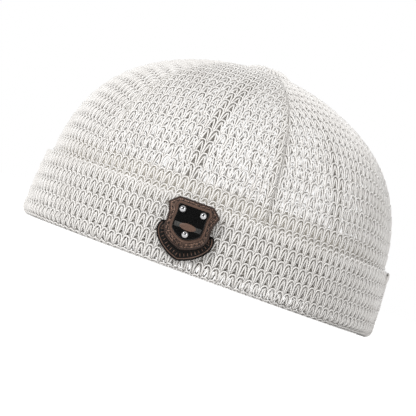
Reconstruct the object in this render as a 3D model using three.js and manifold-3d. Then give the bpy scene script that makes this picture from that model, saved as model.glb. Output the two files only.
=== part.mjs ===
// A mesh skull cap: a crown of six knit gores with a cuff folded up outside, a cloth facing inside,
// a webbing strap with a slider across the open back, and a small badge on the cuff.
// Millimetres, +Z up. The front faces -Y and the wearer's left is +X. The cap stands on the cuff's
// fold at Z = 0, and the origin is the middle of its box there.
// Places on the wall are given by three numbers. The angle runs from the front (0) past the wearer's
// left (90) to the back (180). The depth runs inwards from the crown's outside. The height is Z.
import * as THREE from 'three';
import { mergeVertices } from 'three/addons/utils/BufferGeometryUtils.js';
import Module from 'manifold-3d';

const wasm = await Module();
wasm.setup();

// Head size, and the crown's profile
const HALF_LENGTH = 102;          // centre of the head to the front of the fold
const HALF_WIDTH = 97;            // centre of the head to the side of the fold
const CROWN_HEIGHT = 115.5;       // rim to the top of the gores
const SHOULDER = 3.7;             // how square the crown's shoulder is
const ROUNDING = 1.8;             // how full its top is
const KNIT = 2;                   // one layer of knit
const GAP = 0.3;                  // left between pieces that touch
const GORES = 6;
const SEAM_DIP = 0.9;             // how far the seams draw in on the dome
const SEAM_DIP_FROM = 43;         // height where the seams begin to draw in
const SEAM_DIP_FULL = 79;         // height from where they draw in fully
const TOP_HOLE = 7;               // radius at which the gores end

// Cuff, which goes up outside the crown and a little way up inside it
const CUFF_HEIGHT = 36;
const CUFF_KNIT = 2.4;
const CUFF_END = 125;             // angle of its two ends
const CUFF_CORNER = 9;            // radius of its top corners
const FOLD_OUTSIDE = 4.2;         // how far the fold stands outside the crown
const FOLD_INSIDE = 5.6;          // depth of the fold's inner face
const FOLD_INSIDE_HEIGHT = 6.7;
const CROWN_FOOT = 2.8;           // height of the crown's lower edge in the fold

// Opening at the back
const OPENING_HALF_WIDTH = 49;
const OPENING_SIDE_HEIGHT = 28.8; // where its sides turn into the arch
const OPENING_HEIGHT = 48;
const BACK_HEM_HALF_WIDTH = 74;   // the crown's edge is lifted between the cuff's ends
const BACK_HEM_HEIGHT = 4.8;

// Facing inside the crown
const FACING = 1.2;
const FACING_TOP = 46;
const FACING_FOOT = 7.3;          // above the fold's inner edge
const TAB_FOOT = 4.3;             // at the back
const TAB_END = 152.7;            // angle of the two ends
const TAB_DROP = [128.5, 132.5];  // angles between which the lower edge drops to the tabs'

// Strap and slider
const WEBBING = 1.3;
const STRAP_FOOT = 6.7;
const STRAP_TOP = 26.7;
const STRAP_DEPTH = 0.7;          // of its outer face, so that it lies on the tabs
const STRAP_END = 148.6;          // angle of its two sewn ends
const SLIDER_ANGLE = 173.5;
const SLIDER_LENGTH = 19.2;       // along the strap
const SLIDER_HEIGHT = 25;
const END_BAR = 2.9;
const CENTRE_BAR = 6.5;
const BAR_THICKNESS = 2;
const DIMPLE = 1.2;               // radius of the dimple in the centre bar
const TAIL_END = 199;             // angle of the strap's free end
const TAIL_LIFT = 1.5;            // how much higher the free end lies
const BEND_RADIUS = 95;           // turns a length along the wall into an angle

// Badge
const BADGE_ANGLE = 39;
const BADGE_HEIGHT = 24;          // of the shield's middle
const BACKING = 1.2;
const LEATHER = 2;
const PLATE = 1;
const STUD_RADIUS = 1.8;

const palette = {
  knit: { color: 0xe9e5e0, roughness: 0.7 },
  twill: { color: 0xc4b9a8, roughness: 0.85 },
  webbing: { color: 0x141415, roughness: 0.7 },
  plastic: { color: 0x18181a, roughness: 0.45 },
  leather: { color: 0x6a4c40, roughness: 0.55 },
  blackLeather: { color: 0x1b1a1a, roughness: 0.6 },
  gloss: { color: 0x0c0c0d, roughness: 0.15 },
  steel: { color: 0xc9cbce, roughness: 0.2, metalness: 1 },
};
const materials = Object.fromEntries(
  Object.entries(palette).map(([name, look]) => [name, new THREE.MeshStandardMaterial(look)]));

const radians = THREE.MathUtils.degToRad;
const smooth = THREE.MathUtils.smoothstep;
const mix = THREE.MathUtils.lerp;

// The crown's outside at the rim
const crownLength = HALF_LENGTH - FOLD_OUTSIDE;
const crownWidth = HALF_WIDTH - FOLD_OUTSIDE;

// How wide the crown is at a height, as a share of its rim
function crownShare(z) {
  const up = Math.min(Math.max(z, 0) / CROWN_HEIGHT, 1);
  return (1 - up ** SHOULDER) ** (1 / ROUNDING);
}

function onWall(angle, depth, z) {
  const turn = radians(angle);
  const share = crownShare(z);
  return [
    (crownWidth * share - depth) * Math.sin(turn),
    -(crownLength * share - depth) * Math.cos(turn),
    z];
}

// Joins the grid's neighbouring points by two triangles each. The grid is a list of rows.
function skin(grid, indexOf, flip, out) {
  for (let i = 0; i + 1 < grid.length; i += 1) {
    for (let j = 0; j + 1 < grid[0].length; j += 1) {
      const [a, b, c, d] = [indexOf(i, j), indexOf(i, j + 1), indexOf(i + 1, j + 1), indexOf(i + 1, j)];
      out.push(...(flip ? [a, c, b, a, d, c] : [a, b, c, a, c, d]));
    }
  }
}

function solidFrom(points, triangles) {
  const geometry = new THREE.BufferGeometry();
  geometry.setAttribute('position', new THREE.Float32BufferAttribute(points.flat(), 3));
  geometry.setIndex(triangles);
  return geometry;
}

// A closed sheet between two grids of points of the same size, an outer and an inner one
function sheet(outer, inner) {
  const rows = outer.length;
  const columns = outer[0].length;
  const points = [...outer.flat(), ...inner.flat()];
  const front = (i, j) => i * columns + j;
  const back = (i, j) => (rows + i) * columns + j;
  const triangles = [];
  skin(outer, front, false, triangles);
  skin(inner, back, true, triangles);
  const wall = (from, to) => {
    triangles.push(front(...from), back(...from), back(...to));
    triangles.push(front(...from), back(...to), front(...to));
  };
  for (let j = 0; j + 1 < columns; j += 1) {
    wall([0, j], [0, j + 1]);
    wall([rows - 1, j + 1], [rows - 1, j]);
  }
  for (let i = 0; i + 1 < rows; i += 1) {
    wall([i, columns - 1], [i + 1, columns - 1]);
    wall([i + 1, 0], [i, 0]);
  }
  return solidFrom(points, triangles);
}

// A closed bar through a list of rings of points. The ends are closed by the outline's triangles,
// which is the first ring laid flat.
function bar(rings, outline) {
  const count = outline.length;
  const triangles = [];
  for (let i = 0; i + 1 < rings.length; i += 1) {
    for (let j = 0; j < count; j += 1) {
      const next = (j + 1) % count;
      const [a, b] = [i * count + j, i * count + next];
      triangles.push(a, b, b + count, a, b + count, a + count);
    }
  }
  const last = (rings.length - 1) * count;
  const flat = outline.map(([x, y]) => new THREE.Vector2(x, y));
  const way = Math.sign(THREE.ShapeUtils.area(flat));
  for (const face of THREE.ShapeUtils.triangulateShape(flat, [])) {
    const same = Math.sign(THREE.ShapeUtils.area(face.map((k) => flat[k]))) === way;
    const [a, b, c] = same ? face : face.slice().reverse();
    triangles.push(a, c, b, last + a, last + b, last + c);
  }
  return solidFrom(rings.flat(), triangles);
}

// A bar round the wall: at each angle it has a section of [depth, height] points
function sweep(sections, angles) {
  const rings = sections.map((section, i) => section.map(([depth, z]) => onWall(angles[i], depth, z)));
  return bar(rings, sections[0]);
}

// Booleans, on meshes whose shared vertices are merged
function toSolid(geometry) {
  const bare = geometry.clone();
  bare.deleteAttribute('normal');
  bare.deleteAttribute('uv');
  const merged = mergeVertices(bare, 1e-4);
  return new wasm.Manifold(new wasm.Mesh({
    numProp: 3,
    vertProperties: new Float32Array(merged.attributes.position.array),
    triVerts: new Uint32Array(merged.index.array),
  }));
}

function toGeometry(solid) {
  const mesh = solid.getMesh();
  const geometry = new THREE.BufferGeometry();
  geometry.setAttribute('position', new THREE.BufferAttribute(new Float32Array(mesh.vertProperties), 3));
  geometry.setIndex(new THREE.BufferAttribute(new Uint32Array(mesh.triVerts), 1));
  return geometry;
}

function joined(geometries) {
  return toGeometry(geometries.map(toSolid).reduce((whole, piece) => whole.add(piece)));
}

function cut(geometry, tool) {
  return toGeometry(toSolid(geometry).subtract(toSolid(tool)));
}

// Distances along the wall are counted from the slider's middle
function angleAt(distance) {
  return SLIDER_ANGLE + THREE.MathUtils.radToDeg(distance / BEND_RADIUS);
}

function distanceTo(angle) {
  return radians(angle - SLIDER_ANGLE) * BEND_RADIUS;
}

// Bends a small piece that was made flat. Its X is distance, Y is depth and Z is height.
function bent(geometry) {
  const position = geometry.attributes.position;
  for (let i = 0; i < position.count; i += 1) {
    position.setXYZ(i, ...onWall(angleAt(position.getX(i)), position.getY(i), position.getZ(i)));
  }
  return geometry;
}

// The crown's profile, as evenly spaced heights with the way that the cloth faces there
function crownProfile(rows) {
  const radius = (crownLength + crownWidth) / 2;
  const topShare = TOP_HOLE / radius;
  const topHeight = CROWN_HEIGHT * (1 - topShare ** ROUNDING) ** (1 / SHOULDER);
  const fine = Array.from({ length: 401 }, (_, i) => {
    const turn = (i / 400) * Math.PI / 2;
    return mix(CROWN_FOOT, topHeight, Math.sin(turn));
  });
  const curve = new THREE.CurvePath();
  for (let i = 0; i + 1 < fine.length; i += 1) {
    curve.add(new THREE.LineCurve(
      new THREE.Vector2(crownShare(fine[i]) * radius, fine[i]),
      new THREE.Vector2(crownShare(fine[i + 1]) * radius, fine[i + 1])));
  }
  return Array.from({ length: rows + 1 }, (_, i) => {
    const at = curve.getPointAt(i / rows);
    const along = curve.getTangentAt(i / rows);
    return { z: at.y, share: at.x / radius, radius: at.x, out: along.y, up: -along.x };
  });
}

const GORE_ROWS = 16;
const GORE_COLUMNS = 8;
const profile = crownProfile(GORE_ROWS);

function gore(middle) {
  const reach = 180 / GORES;
  const layer = (inwards) => profile.map(({ z, share, radius, out, up }) => {
    const half = reach - THREE.MathUtils.radToDeg(GAP / 2 / radius);
    return Array.from({ length: GORE_COLUMNS + 1 }, (_, j) => {
      const angle = middle + mix(-half, half, j / GORE_COLUMNS);
      const turn = radians(angle);
      const dome = smooth(z, SEAM_DIP_FROM, SEAM_DIP_FULL) * Math.min(1, share * 2);
      const dip = SEAM_DIP * dome * Math.cos(turn * GORES / 2) ** 2;
      const inset = inwards + dip;
      return [
        (crownWidth * share - inset * out) * Math.sin(turn),
        -(crownLength * share - inset * out) * Math.cos(turn),
        z - inset * up];
    });
  });
  return sheet(layer(0), layer(KNIT));
}

// What is cut from the two back gores: an arch, and a low strip under the hem between the cuff's ends
function backOpening() {
  const outline = new THREE.Shape();
  outline.moveTo(-BACK_HEM_HALF_WIDTH, -5);
  outline.lineTo(BACK_HEM_HALF_WIDTH, -5);
  outline.lineTo(BACK_HEM_HALF_WIDTH, BACK_HEM_HEIGHT);
  outline.lineTo(OPENING_HALF_WIDTH, BACK_HEM_HEIGHT);
  outline.lineTo(OPENING_HALF_WIDTH, OPENING_SIDE_HEIGHT);
  outline.absellipse(0, OPENING_SIDE_HEIGHT, OPENING_HALF_WIDTH, OPENING_HEIGHT - OPENING_SIDE_HEIGHT,
    0, Math.PI, false, 0);
  outline.lineTo(-OPENING_HALF_WIDTH, BACK_HEM_HEIGHT);
  outline.lineTo(-BACK_HEM_HALF_WIDTH, BACK_HEM_HEIGHT);
  const arch = new THREE.ExtrudeGeometry(outline, {
    depth: crownLength, bevelEnabled: false, curveSegments: 12 });
  return arch.rotateX(Math.PI / 2).translate(0, crownLength * 1.3, 0);
}

// The knot of gathered knit over the hole where the gores meet
const GATHER_RADIUS = 10.5;
const GATHER_HEIGHT = 2.6;
const GATHER_PLEATS = 6;

function gather() {
  const base = profile[GORE_ROWS].z + GAP;
  const outline = [
    [0, 0], [GATHER_RADIUS * 0.9, -0.1], [GATHER_RADIUS, 0.3], [GATHER_RADIUS * 0.86, 1.1],
    [GATHER_RADIUS * 0.6, GATHER_HEIGHT * 0.76], [GATHER_RADIUS * 0.3, GATHER_HEIGHT * 0.95],
    [0, GATHER_HEIGHT]];
  const geometry = new THREE.LatheGeometry(outline.map(([x, y]) => new THREE.Vector2(x, y)), 24);
  geometry.rotateX(Math.PI / 2);
  const position = geometry.attributes.position;
  for (let i = 0; i < position.count; i += 1) {
    const turn = Math.atan2(position.getY(i), position.getX(i));
    const pleat = 1 + 0.06 * Math.cos(GATHER_PLEATS * turn);
    position.setX(i, position.getX(i) * pleat);
    position.setY(i, position.getY(i) * pleat);
  }
  return geometry.translate(0, 0, base);
}

// Quarter of a circle in a section, from one angle to another in degrees
function arc(depth, z, radius, from, to, steps) {
  return Array.from({ length: steps + 1 }, (_, i) => {
    const turn = radians(mix(from, to, i / steps));
    return [depth + radius * Math.cos(turn), z + radius * Math.sin(turn)];
  });
}

const CUFF_STEPS = 54;

function cuffSection(top) {
  const inner = FOLD_INSIDE - CUFF_KNIT;
  const bend = FOLD_INSIDE - KNIT;
  const outside = -GAP - CUFF_KNIT;
  const section = [
    ...arc(0, FOLD_OUTSIDE, FOLD_OUTSIDE, 270, 180, 4),
    [mix(-FOLD_OUTSIDE, outside, 0.35), CUFF_HEIGHT * 0.5],
    [outside, CUFF_HEIGHT - 0.9],
    [outside + 0.6, CUFF_HEIGHT],
    [-GAP - 0.6, CUFF_HEIGHT],
    [-GAP, CUFF_HEIGHT - 0.9],
    [mix(-FOLD_OUTSIDE, outside, 0.35) + CUFF_KNIT, CUFF_HEIGHT * 0.5],
    ...arc(0, FOLD_OUTSIDE, FOLD_OUTSIDE - CUFF_KNIT, 180, 270, 2),
    ...arc(inner - 1.2, CUFF_KNIT + 1.2, 1.2, 270, 360, 2),
    [inner, FOLD_INSIDE_HEIGHT],
    [FOLD_INSIDE, FOLD_INSIDE_HEIGHT],
    ...arc(KNIT, bend, bend, 360, 270, 3)];
  const half = CUFF_HEIGHT / 2;
  return section.map(([depth, z]) => [depth, z > half ? half + (z - half) * (top - half) / half : z]);
}

function cuff() {
  const angles = [];
  const sections = [];
  const near = THREE.MathUtils.radToDeg(CUFF_CORNER / BEND_RADIUS);
  const rounded = [0, 0.08, 0.3, 0.6].map((share) => CUFF_END - near * share);
  const inside = Array.from({ length: CUFF_STEPS + 1 },
    (_, i) => mix(CUFF_END - near, near - CUFF_END, i / CUFF_STEPS));
  for (const angle of [...rounded, ...inside, ...rounded.map((end) => -end).reverse()]) {
    const from = (CUFF_END - Math.abs(angle)) / near;
    const drop = from < 1 ? CUFF_CORNER * (1 - Math.sqrt(1 - (1 - from) ** 2)) : 0;
    angles.push(angle);
    sections.push(cuffSection(CUFF_HEIGHT - drop));
  }
  return sweep(sections, angles);
}

const FACING_STEPS = 62;

function facing() {
  const outer = KNIT + 2 * GAP;      // the second gap is for the flat facets
  const inner = outer + FACING;
  const angles = Array.from({ length: FACING_STEPS + 1 }, (_, i) => mix(TAB_END, -TAB_END, i / FACING_STEPS));
  const sections = angles.map((angle) => {
    const foot = mix(FACING_FOOT, TAB_FOOT, smooth(Math.abs(angle), ...TAB_DROP));
    const rows = [foot, 20, 34, FACING_TOP];
    return [
      ...rows.map((z) => [outer, z]),
      ...rows.reverse().map((z) => [inner, z])];
  });
  return sweep(sections, angles);
}

// Webbing along a path of [distance, depth], which lift raises by a height at each point
function webbing(path, lift) {
  const line = path.map(([x, y]) => new THREE.Vector2(x, y));
  const rings = line.map((at, i) => {
    const along = line[Math.min(i + 1, line.length - 1)].clone().sub(line[Math.max(i - 1, 0)]).normalize();
    const corner = (sign, z) => {
      const x = at.x - sign * along.y * WEBBING / 2;
      const depth = at.y + sign * along.x * WEBBING / 2;
      return onWall(angleAt(x), depth, z + lift(at.x, at.y));
    };
    return [corner(1, STRAP_FOOT), corner(1, STRAP_TOP), corner(-1, STRAP_TOP), corner(-1, STRAP_FOOT)];
  });
  return bar(rings, [[0, 0], [0, 1], [1, 1], [1, 0]]);
}

const strapMiddle = STRAP_DEPTH + WEBBING / 2;
const barMiddle = STRAP_DEPTH + WEBBING + GAP + BAR_THICKNESS / 2;
const turnRadius = (BAR_THICKNESS + WEBBING) / 2 + GAP;
const turnCentre = SLIDER_LENGTH / 2 - END_BAR;
const returnMiddle = strapMiddle + WEBBING + GAP;

// From the sewn end along the outside of the end bar, round it and back along the inside.
// The path is for the side where the distance grows. The other strap has it turned over.
function strapPath(sewnEnd, freeEnd) {
  const clear = SLIDER_LENGTH / 2 + 1;
  const landing = clear + 7;
  const run = (from, to, depth) => {
    const steps = Math.ceil(Math.abs(to - from) / 6);
    return Array.from({ length: steps + 1 }, (_, i) => [mix(from, to, i / steps), depth]);
  };
  return [
    ...run(sewnEnd, turnCentre + 0.5, strapMiddle),
    ...arc(turnCentre, barMiddle, turnRadius, 270, 90, 6),
    [clear, barMiddle + turnRadius],
    ...run(landing, freeEnd, returnMiddle)];
}

function strapLong() {
  const from = SLIDER_LENGTH / 2 + 3;
  const between = (strapMiddle + returnMiddle) / 2;
  const lift = (x, y) => (y > between ? TAIL_LIFT * smooth(x, from, from + 14) : 0);
  return webbing(strapPath(distanceTo(360 - STRAP_END), distanceTo(TAIL_END)), lift);
}

function strapShort() {
  const path = strapPath(-distanceTo(STRAP_END), -distanceTo(TAB_END) - 1);
  return webbing(path.map(([x, y]) => [-x, y]).reverse(), () => 0);
}

// The slider: two rails joined by an end bar on each side and a raised bar between
function slider() {
  const rail = (SLIDER_HEIGHT - (STRAP_TOP - STRAP_FOOT) - 2 * GAP) / 2;
  const middle = (STRAP_TOP + STRAP_FOOT) / 2;
  const box = (x0, x1, y0, y1, z0, z1) => bent(
    new THREE.BoxGeometry(x1 - x0, y1 - y0, z1 - z0, 4, 1, 1)
      .translate((x0 + x1) / 2, (y0 + y1) / 2, (z0 + z1) / 2));
  const half = SLIDER_LENGTH / 2;
  const [foot, top] = [middle - SLIDER_HEIGHT / 2, middle + SLIDER_HEIGHT / 2];
  const railDepths = [barMiddle - BAR_THICKNESS / 2 - 0.8, barMiddle + BAR_THICKNESS / 2 + 0.8];
  const barDepths = [barMiddle - BAR_THICKNESS / 2, barMiddle + BAR_THICKNESS / 2];
  const ridge = barMiddle + BAR_THICKNESS / 2 + 2.2;
  const section = new THREE.Shape();
  section.moveTo(-CENTRE_BAR / 2, railDepths[0]);
  section.lineTo(CENTRE_BAR / 2, railDepths[0]);
  section.lineTo(CENTRE_BAR / 2, railDepths[1]);
  section.lineTo(CENTRE_BAR / 4, ridge);
  section.lineTo(-CENTRE_BAR / 4, ridge);
  section.lineTo(-CENTRE_BAR / 2, railDepths[1]);
  const raised = new THREE.ExtrudeGeometry(section, { depth: SLIDER_HEIGHT - 1.6, bevelEnabled: false })
    .translate(0, 0, foot + 0.8);
  const dimple = bent(new THREE.SphereGeometry(DIMPLE, 12, 8).translate(0, ridge + 0.3, middle));
  const bars = [foot + 0.5, top - 0.5];
  const frame = joined([
    box(-half, half, ...railDepths, foot, foot + rail),
    box(-half, half, ...railDepths, top - rail, top),
    box(half - END_BAR, half, ...barDepths, ...bars),
    box(-half, END_BAR - half, ...barDepths, ...bars),
    bent(raised)]);
  return cut(frame, dimple);
}

// The badge is made flat, with X to the right, Y up and its face towards +Z. An outline is given by
// the stretches of its right half from the bottom up, each a line or a bend, and mirrored.
function mirrored(start, stretches) {
  const outline = new THREE.Shape();
  outline.moveTo(...start);
  let from = start;
  const back = [];
  for (const [to, bend] of stretches) {
    if (bend) outline.quadraticCurveTo(...bend, ...to);
    else outline.lineTo(...to);
    back.unshift([from, bend]);
    from = to;
  }
  outline.lineTo(-from[0], from[1]);
  for (const [to, bend] of back) {
    if (bend) outline.quadraticCurveTo(-bend[0], bend[1], -to[0], to[1]);
    else outline.lineTo(-to[0], to[1]);
  }
  return outline;
}

const shieldOutline = () => mirrored([0, -13.8], [
  [[9.6, -9], [6.6, -12.2]],
  [[11.5, -3.4], [11.7, -6.2]],
  [[12.2, 3.9], [10.8, 0.6]],
  [[13.4, 6.9]],
  [[9, 11.1]],
]);

// A ribbon's curve below, with an arm up behind the shield
const ribbonOutline = () => mirrored([0, -19.3], [
  [[12.6, -11.6], [8.2, -17.2]],
  [[14.2, -4], [15.7, -7.4]],
  [[12.6, -2.3], [13.6, -2.5]],
  [[10.2, -3.2]],
  [[10, 2]],
  [[10.8, 6.4]],
  [[7.8, 9.4]],
]);

const plateOutline = () => mirrored([0, -8.9], [
  [[7.4, -4.8], [4.6, -8.1]],
  [[7.5, 2.2], [8, -1.6]],
  [[8.1, 6.5], [7.4, 4.6]],
  [[7.4, 7.8]],
]);

function slab(outline, thickness, curveSegments) {
  const bevel = 0.25;
  return new THREE.ExtrudeGeometry(outline, {
    depth: thickness - 2 * bevel,
    bevelThickness: bevel,
    bevelSize: bevel,
    bevelOffset: -bevel,
    bevelSegments: 1,
    curveSegments,
  }).translate(0, 0, bevel);
}

function studShape() {
  const points = [[0, 0], [STUD_RADIUS, 0], [STUD_RADIUS, 0.4], [STUD_RADIUS * 0.8, 1.1],
    [STUD_RADIUS * 0.4, 1.45], [0, 1.55]];
  return new THREE.LatheGeometry(points.map(([x, y]) => new THREE.Vector2(x, y)), 16).rotateX(Math.PI / 2);
}

// The scene graph
const cap = new THREE.Group();

function place(parent, name, geometry, material) {
  const mesh = new THREE.Mesh(geometry, material);
  mesh.name = name;
  parent.add(mesh);
  return mesh;
}

const goreNames = {
  crown_panel_front_left: 30,
  crown_panel_side_left: 90,
  crown_panel_back_left: 150,
  crown_panel_back_right: 210,
  crown_panel_side_right: 270,
  crown_panel_front_right: 330,
};
for (const [name, middle] of Object.entries(goreNames)) {
  const atBack = name.includes('back');
  place(cap, name, atBack ? cut(gore(middle), backOpening()) : gore(middle), materials.knit);
}
place(cap, 'crown_gather', gather(), materials.knit);
place(cap, 'cuff', cuff(), materials.knit);
place(cap, 'facing_band', facing(), materials.twill);
place(cap, 'strap_long', strapLong(), materials.webbing);
place(cap, 'strap_short', strapShort(), materials.webbing);
place(cap, 'buckle', slider(), materials.plastic);

// The badge stands square to the cuff's outside at its angle
const badge = new THREE.Group();
const cuffFace = (z) => -mix(FOLD_OUTSIDE, CUFF_KNIT + GAP, z / CUFF_HEIGHT) - GAP;
const [low, high] = [BADGE_HEIGHT - 14, BADGE_HEIGHT + 10].map(
  (z) => new THREE.Vector3(...onWall(BADGE_ANGLE, cuffFace(z), z)));
const upwards = high.clone().sub(low).normalize();
const sideways = new THREE.Vector3(...onWall(BADGE_ANGLE + 1, cuffFace(BADGE_HEIGHT), BADGE_HEIGHT))
  .sub(new THREE.Vector3(...onWall(BADGE_ANGLE - 1, cuffFace(BADGE_HEIGHT), BADGE_HEIGHT))).normalize();
const outwards = sideways.clone().cross(upwards).normalize();
badge.setRotationFromMatrix(new THREE.Matrix4().makeBasis(sideways, upwards, outwards));
badge.position.set(...onWall(BADGE_ANGLE, cuffFace(BADGE_HEIGHT) - GAP, BADGE_HEIGHT));
cap.add(badge);

place(badge, 'badge_ribbon', slab(ribbonOutline(), BACKING, 5), materials.blackLeather);
place(badge, 'badge_shield', slab(shieldOutline(), LEATHER, 4), materials.leather)
  .position.z = BACKING + GAP;
place(badge, 'badge_plate', slab(plateOutline(), PLATE, 4), materials.gloss)
  .position.z = BACKING + LEATHER + 2 * GAP;
const studs = [
  { name: 'badge_stud_left', x: -5.3, y: 5.3 },
  { name: 'badge_stud_right', x: 5.3, y: 5.3 },
  { name: 'badge_stud_bottom', x: 0, y: -6.2 },
];
for (const { name, x, y } of studs) {
  place(badge, name, studShape(), materials.steel)
    .position.set(x, y, BACKING + LEATHER + PLATE + 3 * GAP);
}

// The origin is the middle of the whole cap's box, at the rim
cap.updateMatrixWorld(true);
const middle = new THREE.Box3().setFromObject(cap, true).getCenter(new THREE.Vector3());
cap.position.set(-middle.x, -middle.y, 0);

export default cap;
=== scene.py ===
# %% [markdown]
# # A mesh skull cap
# The cap is a crown of six gores of open knit, with a cuff folded up outside, a cloth facing inside,
# a webbing strap across the open back and a small badge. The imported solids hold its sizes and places.
# Here each soft solid gets its real surface: loops of yarn, twill, ribbed webbing and leather.

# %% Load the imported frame
import math

import bmesh
import bpy
import numpy as np
from mathutils import Matrix, Vector


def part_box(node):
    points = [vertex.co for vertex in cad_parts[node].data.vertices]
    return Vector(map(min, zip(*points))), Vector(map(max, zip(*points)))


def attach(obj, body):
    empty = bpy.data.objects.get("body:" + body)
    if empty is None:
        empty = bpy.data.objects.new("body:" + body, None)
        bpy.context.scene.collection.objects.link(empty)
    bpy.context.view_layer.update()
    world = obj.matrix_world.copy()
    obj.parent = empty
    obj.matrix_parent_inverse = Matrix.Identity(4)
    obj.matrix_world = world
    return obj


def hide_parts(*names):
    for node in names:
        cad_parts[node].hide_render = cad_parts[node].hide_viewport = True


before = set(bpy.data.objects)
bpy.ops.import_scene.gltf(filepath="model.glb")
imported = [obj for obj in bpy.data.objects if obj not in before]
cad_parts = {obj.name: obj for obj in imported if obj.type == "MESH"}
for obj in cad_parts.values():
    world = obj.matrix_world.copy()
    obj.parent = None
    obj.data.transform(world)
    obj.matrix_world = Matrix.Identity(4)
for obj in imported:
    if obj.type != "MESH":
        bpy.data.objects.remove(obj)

scene = bpy.context.scene
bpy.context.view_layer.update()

# %% [markdown]
# ## The wall that everything follows
# Every piece lies on one domed, slightly oval wall. A place on it has an angle from the front, a
# depth inwards from the crown's outside and a height. The same few sizes as in the solids are used,
# in metres, and the oval's middle is found from the cuff's box. Writing the wall once as a function
# is why a stitch, a strap and a badge can all be placed without any fitting by eye.

# %% Sizes of the wall
MM = 0.001
HALF_LENGTH = 102 * MM
HALF_WIDTH = 97 * MM
FOLD_OUTSIDE = 4.2 * MM
CROWN_HEIGHT = 115.5 * MM
SHOULDER = 3.7
ROUNDING = 1.8
CROWN_LENGTH = HALF_LENGTH - FOLD_OUTSIDE
CROWN_WIDTH = HALF_WIDTH - FOLD_OUTSIDE
MEAN_RADIUS = (CROWN_LENGTH + CROWN_WIDTH) / 2
MIDDLE_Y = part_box("cuff")[0].y + HALF_LENGTH


def crown_share(z):
    """How wide the crown is at a height, as a share of its rim."""
    up = np.clip(np.asarray(z, float) / CROWN_HEIGHT, 0, 1)
    return (1 - up ** SHOULDER) ** (1 / ROUNDING)


def on_wall(angle, depth, z):
    """Points on the wall from angles in radians, depths and heights, as an array of rows."""
    share = crown_share(z)
    x = (CROWN_WIDTH * share - depth) * np.sin(angle)
    y = MIDDLE_Y - (CROWN_LENGTH * share - depth) * np.cos(angle)
    return np.stack(np.broadcast_arrays(x, y, z), axis=-1)


print("oval's middle y mm:", round(MIDDLE_Y / MM, 2))

# %% [markdown]
# ## Small helpers for meshes
# Yarn and thread are tubes along a path, and bands are a section carried along a path. Two helpers
# make both as plain lists, so that each piece below is a few lines. A tube keeps its length and its
# turn in the UV map, which lets the yarn's twist follow it however it bends.

# %% Paths
def unit(rows):
    """Each row brought to a length of one."""
    return rows / np.maximum(np.linalg.norm(rows, axis=-1), 1e-12)[..., None]


def path_lengths(path):
    """How far along a path each of its points lies."""
    return np.concatenate([[0], np.cumsum(np.linalg.norm(np.diff(path, axis=0), axis=1))])


def path_frame(path, face):
    """The side and the face of a path at each point. face is roughly the way that its front looks."""
    along = unit(np.gradient(path, axis=0))
    side = unit(np.cross(face, along))
    return side, np.cross(along, side)


def smooth_path(points, count):
    """A soft curve through a few points, sampled evenly by their number."""
    p = np.asarray(points, float)
    ends = np.vstack([2 * p[0] - p[1], p, 2 * p[-1] - p[-2]])
    t = np.linspace(0, len(p) - 1, count)
    k = np.minimum(t.astype(int), len(p) - 2)
    f = (t - k)[:, None]
    a, b, c, d = ends[k], ends[k + 1], ends[k + 2], ends[k + 3]
    return 0.5 * (2 * b + (c - a) * f + (2 * a - 5 * b + 4 * c - d) * f ** 2
                  + (3 * b - a - 3 * c + d) * f ** 3)


# %% Tubes and bands
def tube(path, radius, sides, face=(0, 0, 1)):
    """Vertices, faces and UVs of a tube with closed ends."""
    path = np.asarray(path, float)
    side, up = path_frame(path, face)
    turn = np.arange(sides)[:, None] * 2 * math.pi / sides
    ring = np.sin(turn) * up[:, None] - np.cos(turn) * side[:, None]
    radius = np.broadcast_to(radius, len(path))
    verts = (path[:, None] + ring * radius[:, None, None]).reshape(-1, 3)
    length = path_lengths(path)
    faces, uvs = [], []
    for i in range(len(path) - 1):
        for j in range(sides):
            k = (j + 1) % sides
            faces.append((i * sides + j, (i + 1) * sides + j, (i + 1) * sides + k, i * sides + k))
            uvs.append([(length[i], j / sides), (length[i + 1], j / sides),
                        (length[i + 1], (j + 1) / sides), (length[i], (j + 1) / sides)])
    last = (len(path) - 1) * sides
    faces.append(tuple(range(sides)))
    faces.append(tuple(last + j for j in range(sides))[::-1])
    uvs += [[(0, 0)] * sides, [(length[-1], 0)] * sides]
    return verts, faces, uvs


def band(rings, lengths, heights):
    """A closed bar through rings of points. The UVs are lengths along it and heights round it."""
    rings = np.asarray(rings, float)
    rows, count = rings.shape[:2]
    faces, uvs = [], []
    for i in range(rows - 1):
        for j in range(count):
            k = (j + 1) % count
            faces.append((i * count + j, i * count + k, (i + 1) * count + k, (i + 1) * count + j))
            uvs.append([(lengths[i], heights[j]), (lengths[i], heights[k]),
                        (lengths[i + 1], heights[k]), (lengths[i + 1], heights[j])])
    last = (rows - 1) * count
    faces.append(tuple(range(count))[::-1])
    faces.append(tuple(last + j for j in range(count)))
    uvs += [[(lengths[0], h) for h in heights[::-1]], [(lengths[-1], h) for h in heights]]
    return rings.reshape(-1, 3), faces, uvs


def joined(parts):
    """Several sets of vertices, faces and UVs as one."""
    verts, faces, uvs, start = [], [], [], 0
    for v, f, u in parts:
        verts.append(v)
        faces += [tuple(k + start for k in face) for face in f]
        uvs += u
        start += len(v)
    return np.vstack(verts), faces, uvs


def quad(corners):
    """Vertices, faces and UVs of one flat face."""
    return corners, [(0, 1, 2, 3)], [[(0, 0), (1, 0), (1, 1), (0, 1)]]


# %% Objects
def put_in_scene(name, data):
    """A new object of a mesh, a light or a camera."""
    obj = bpy.data.objects.new(name, data)
    scene.collection.objects.link(obj)
    return obj


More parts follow.
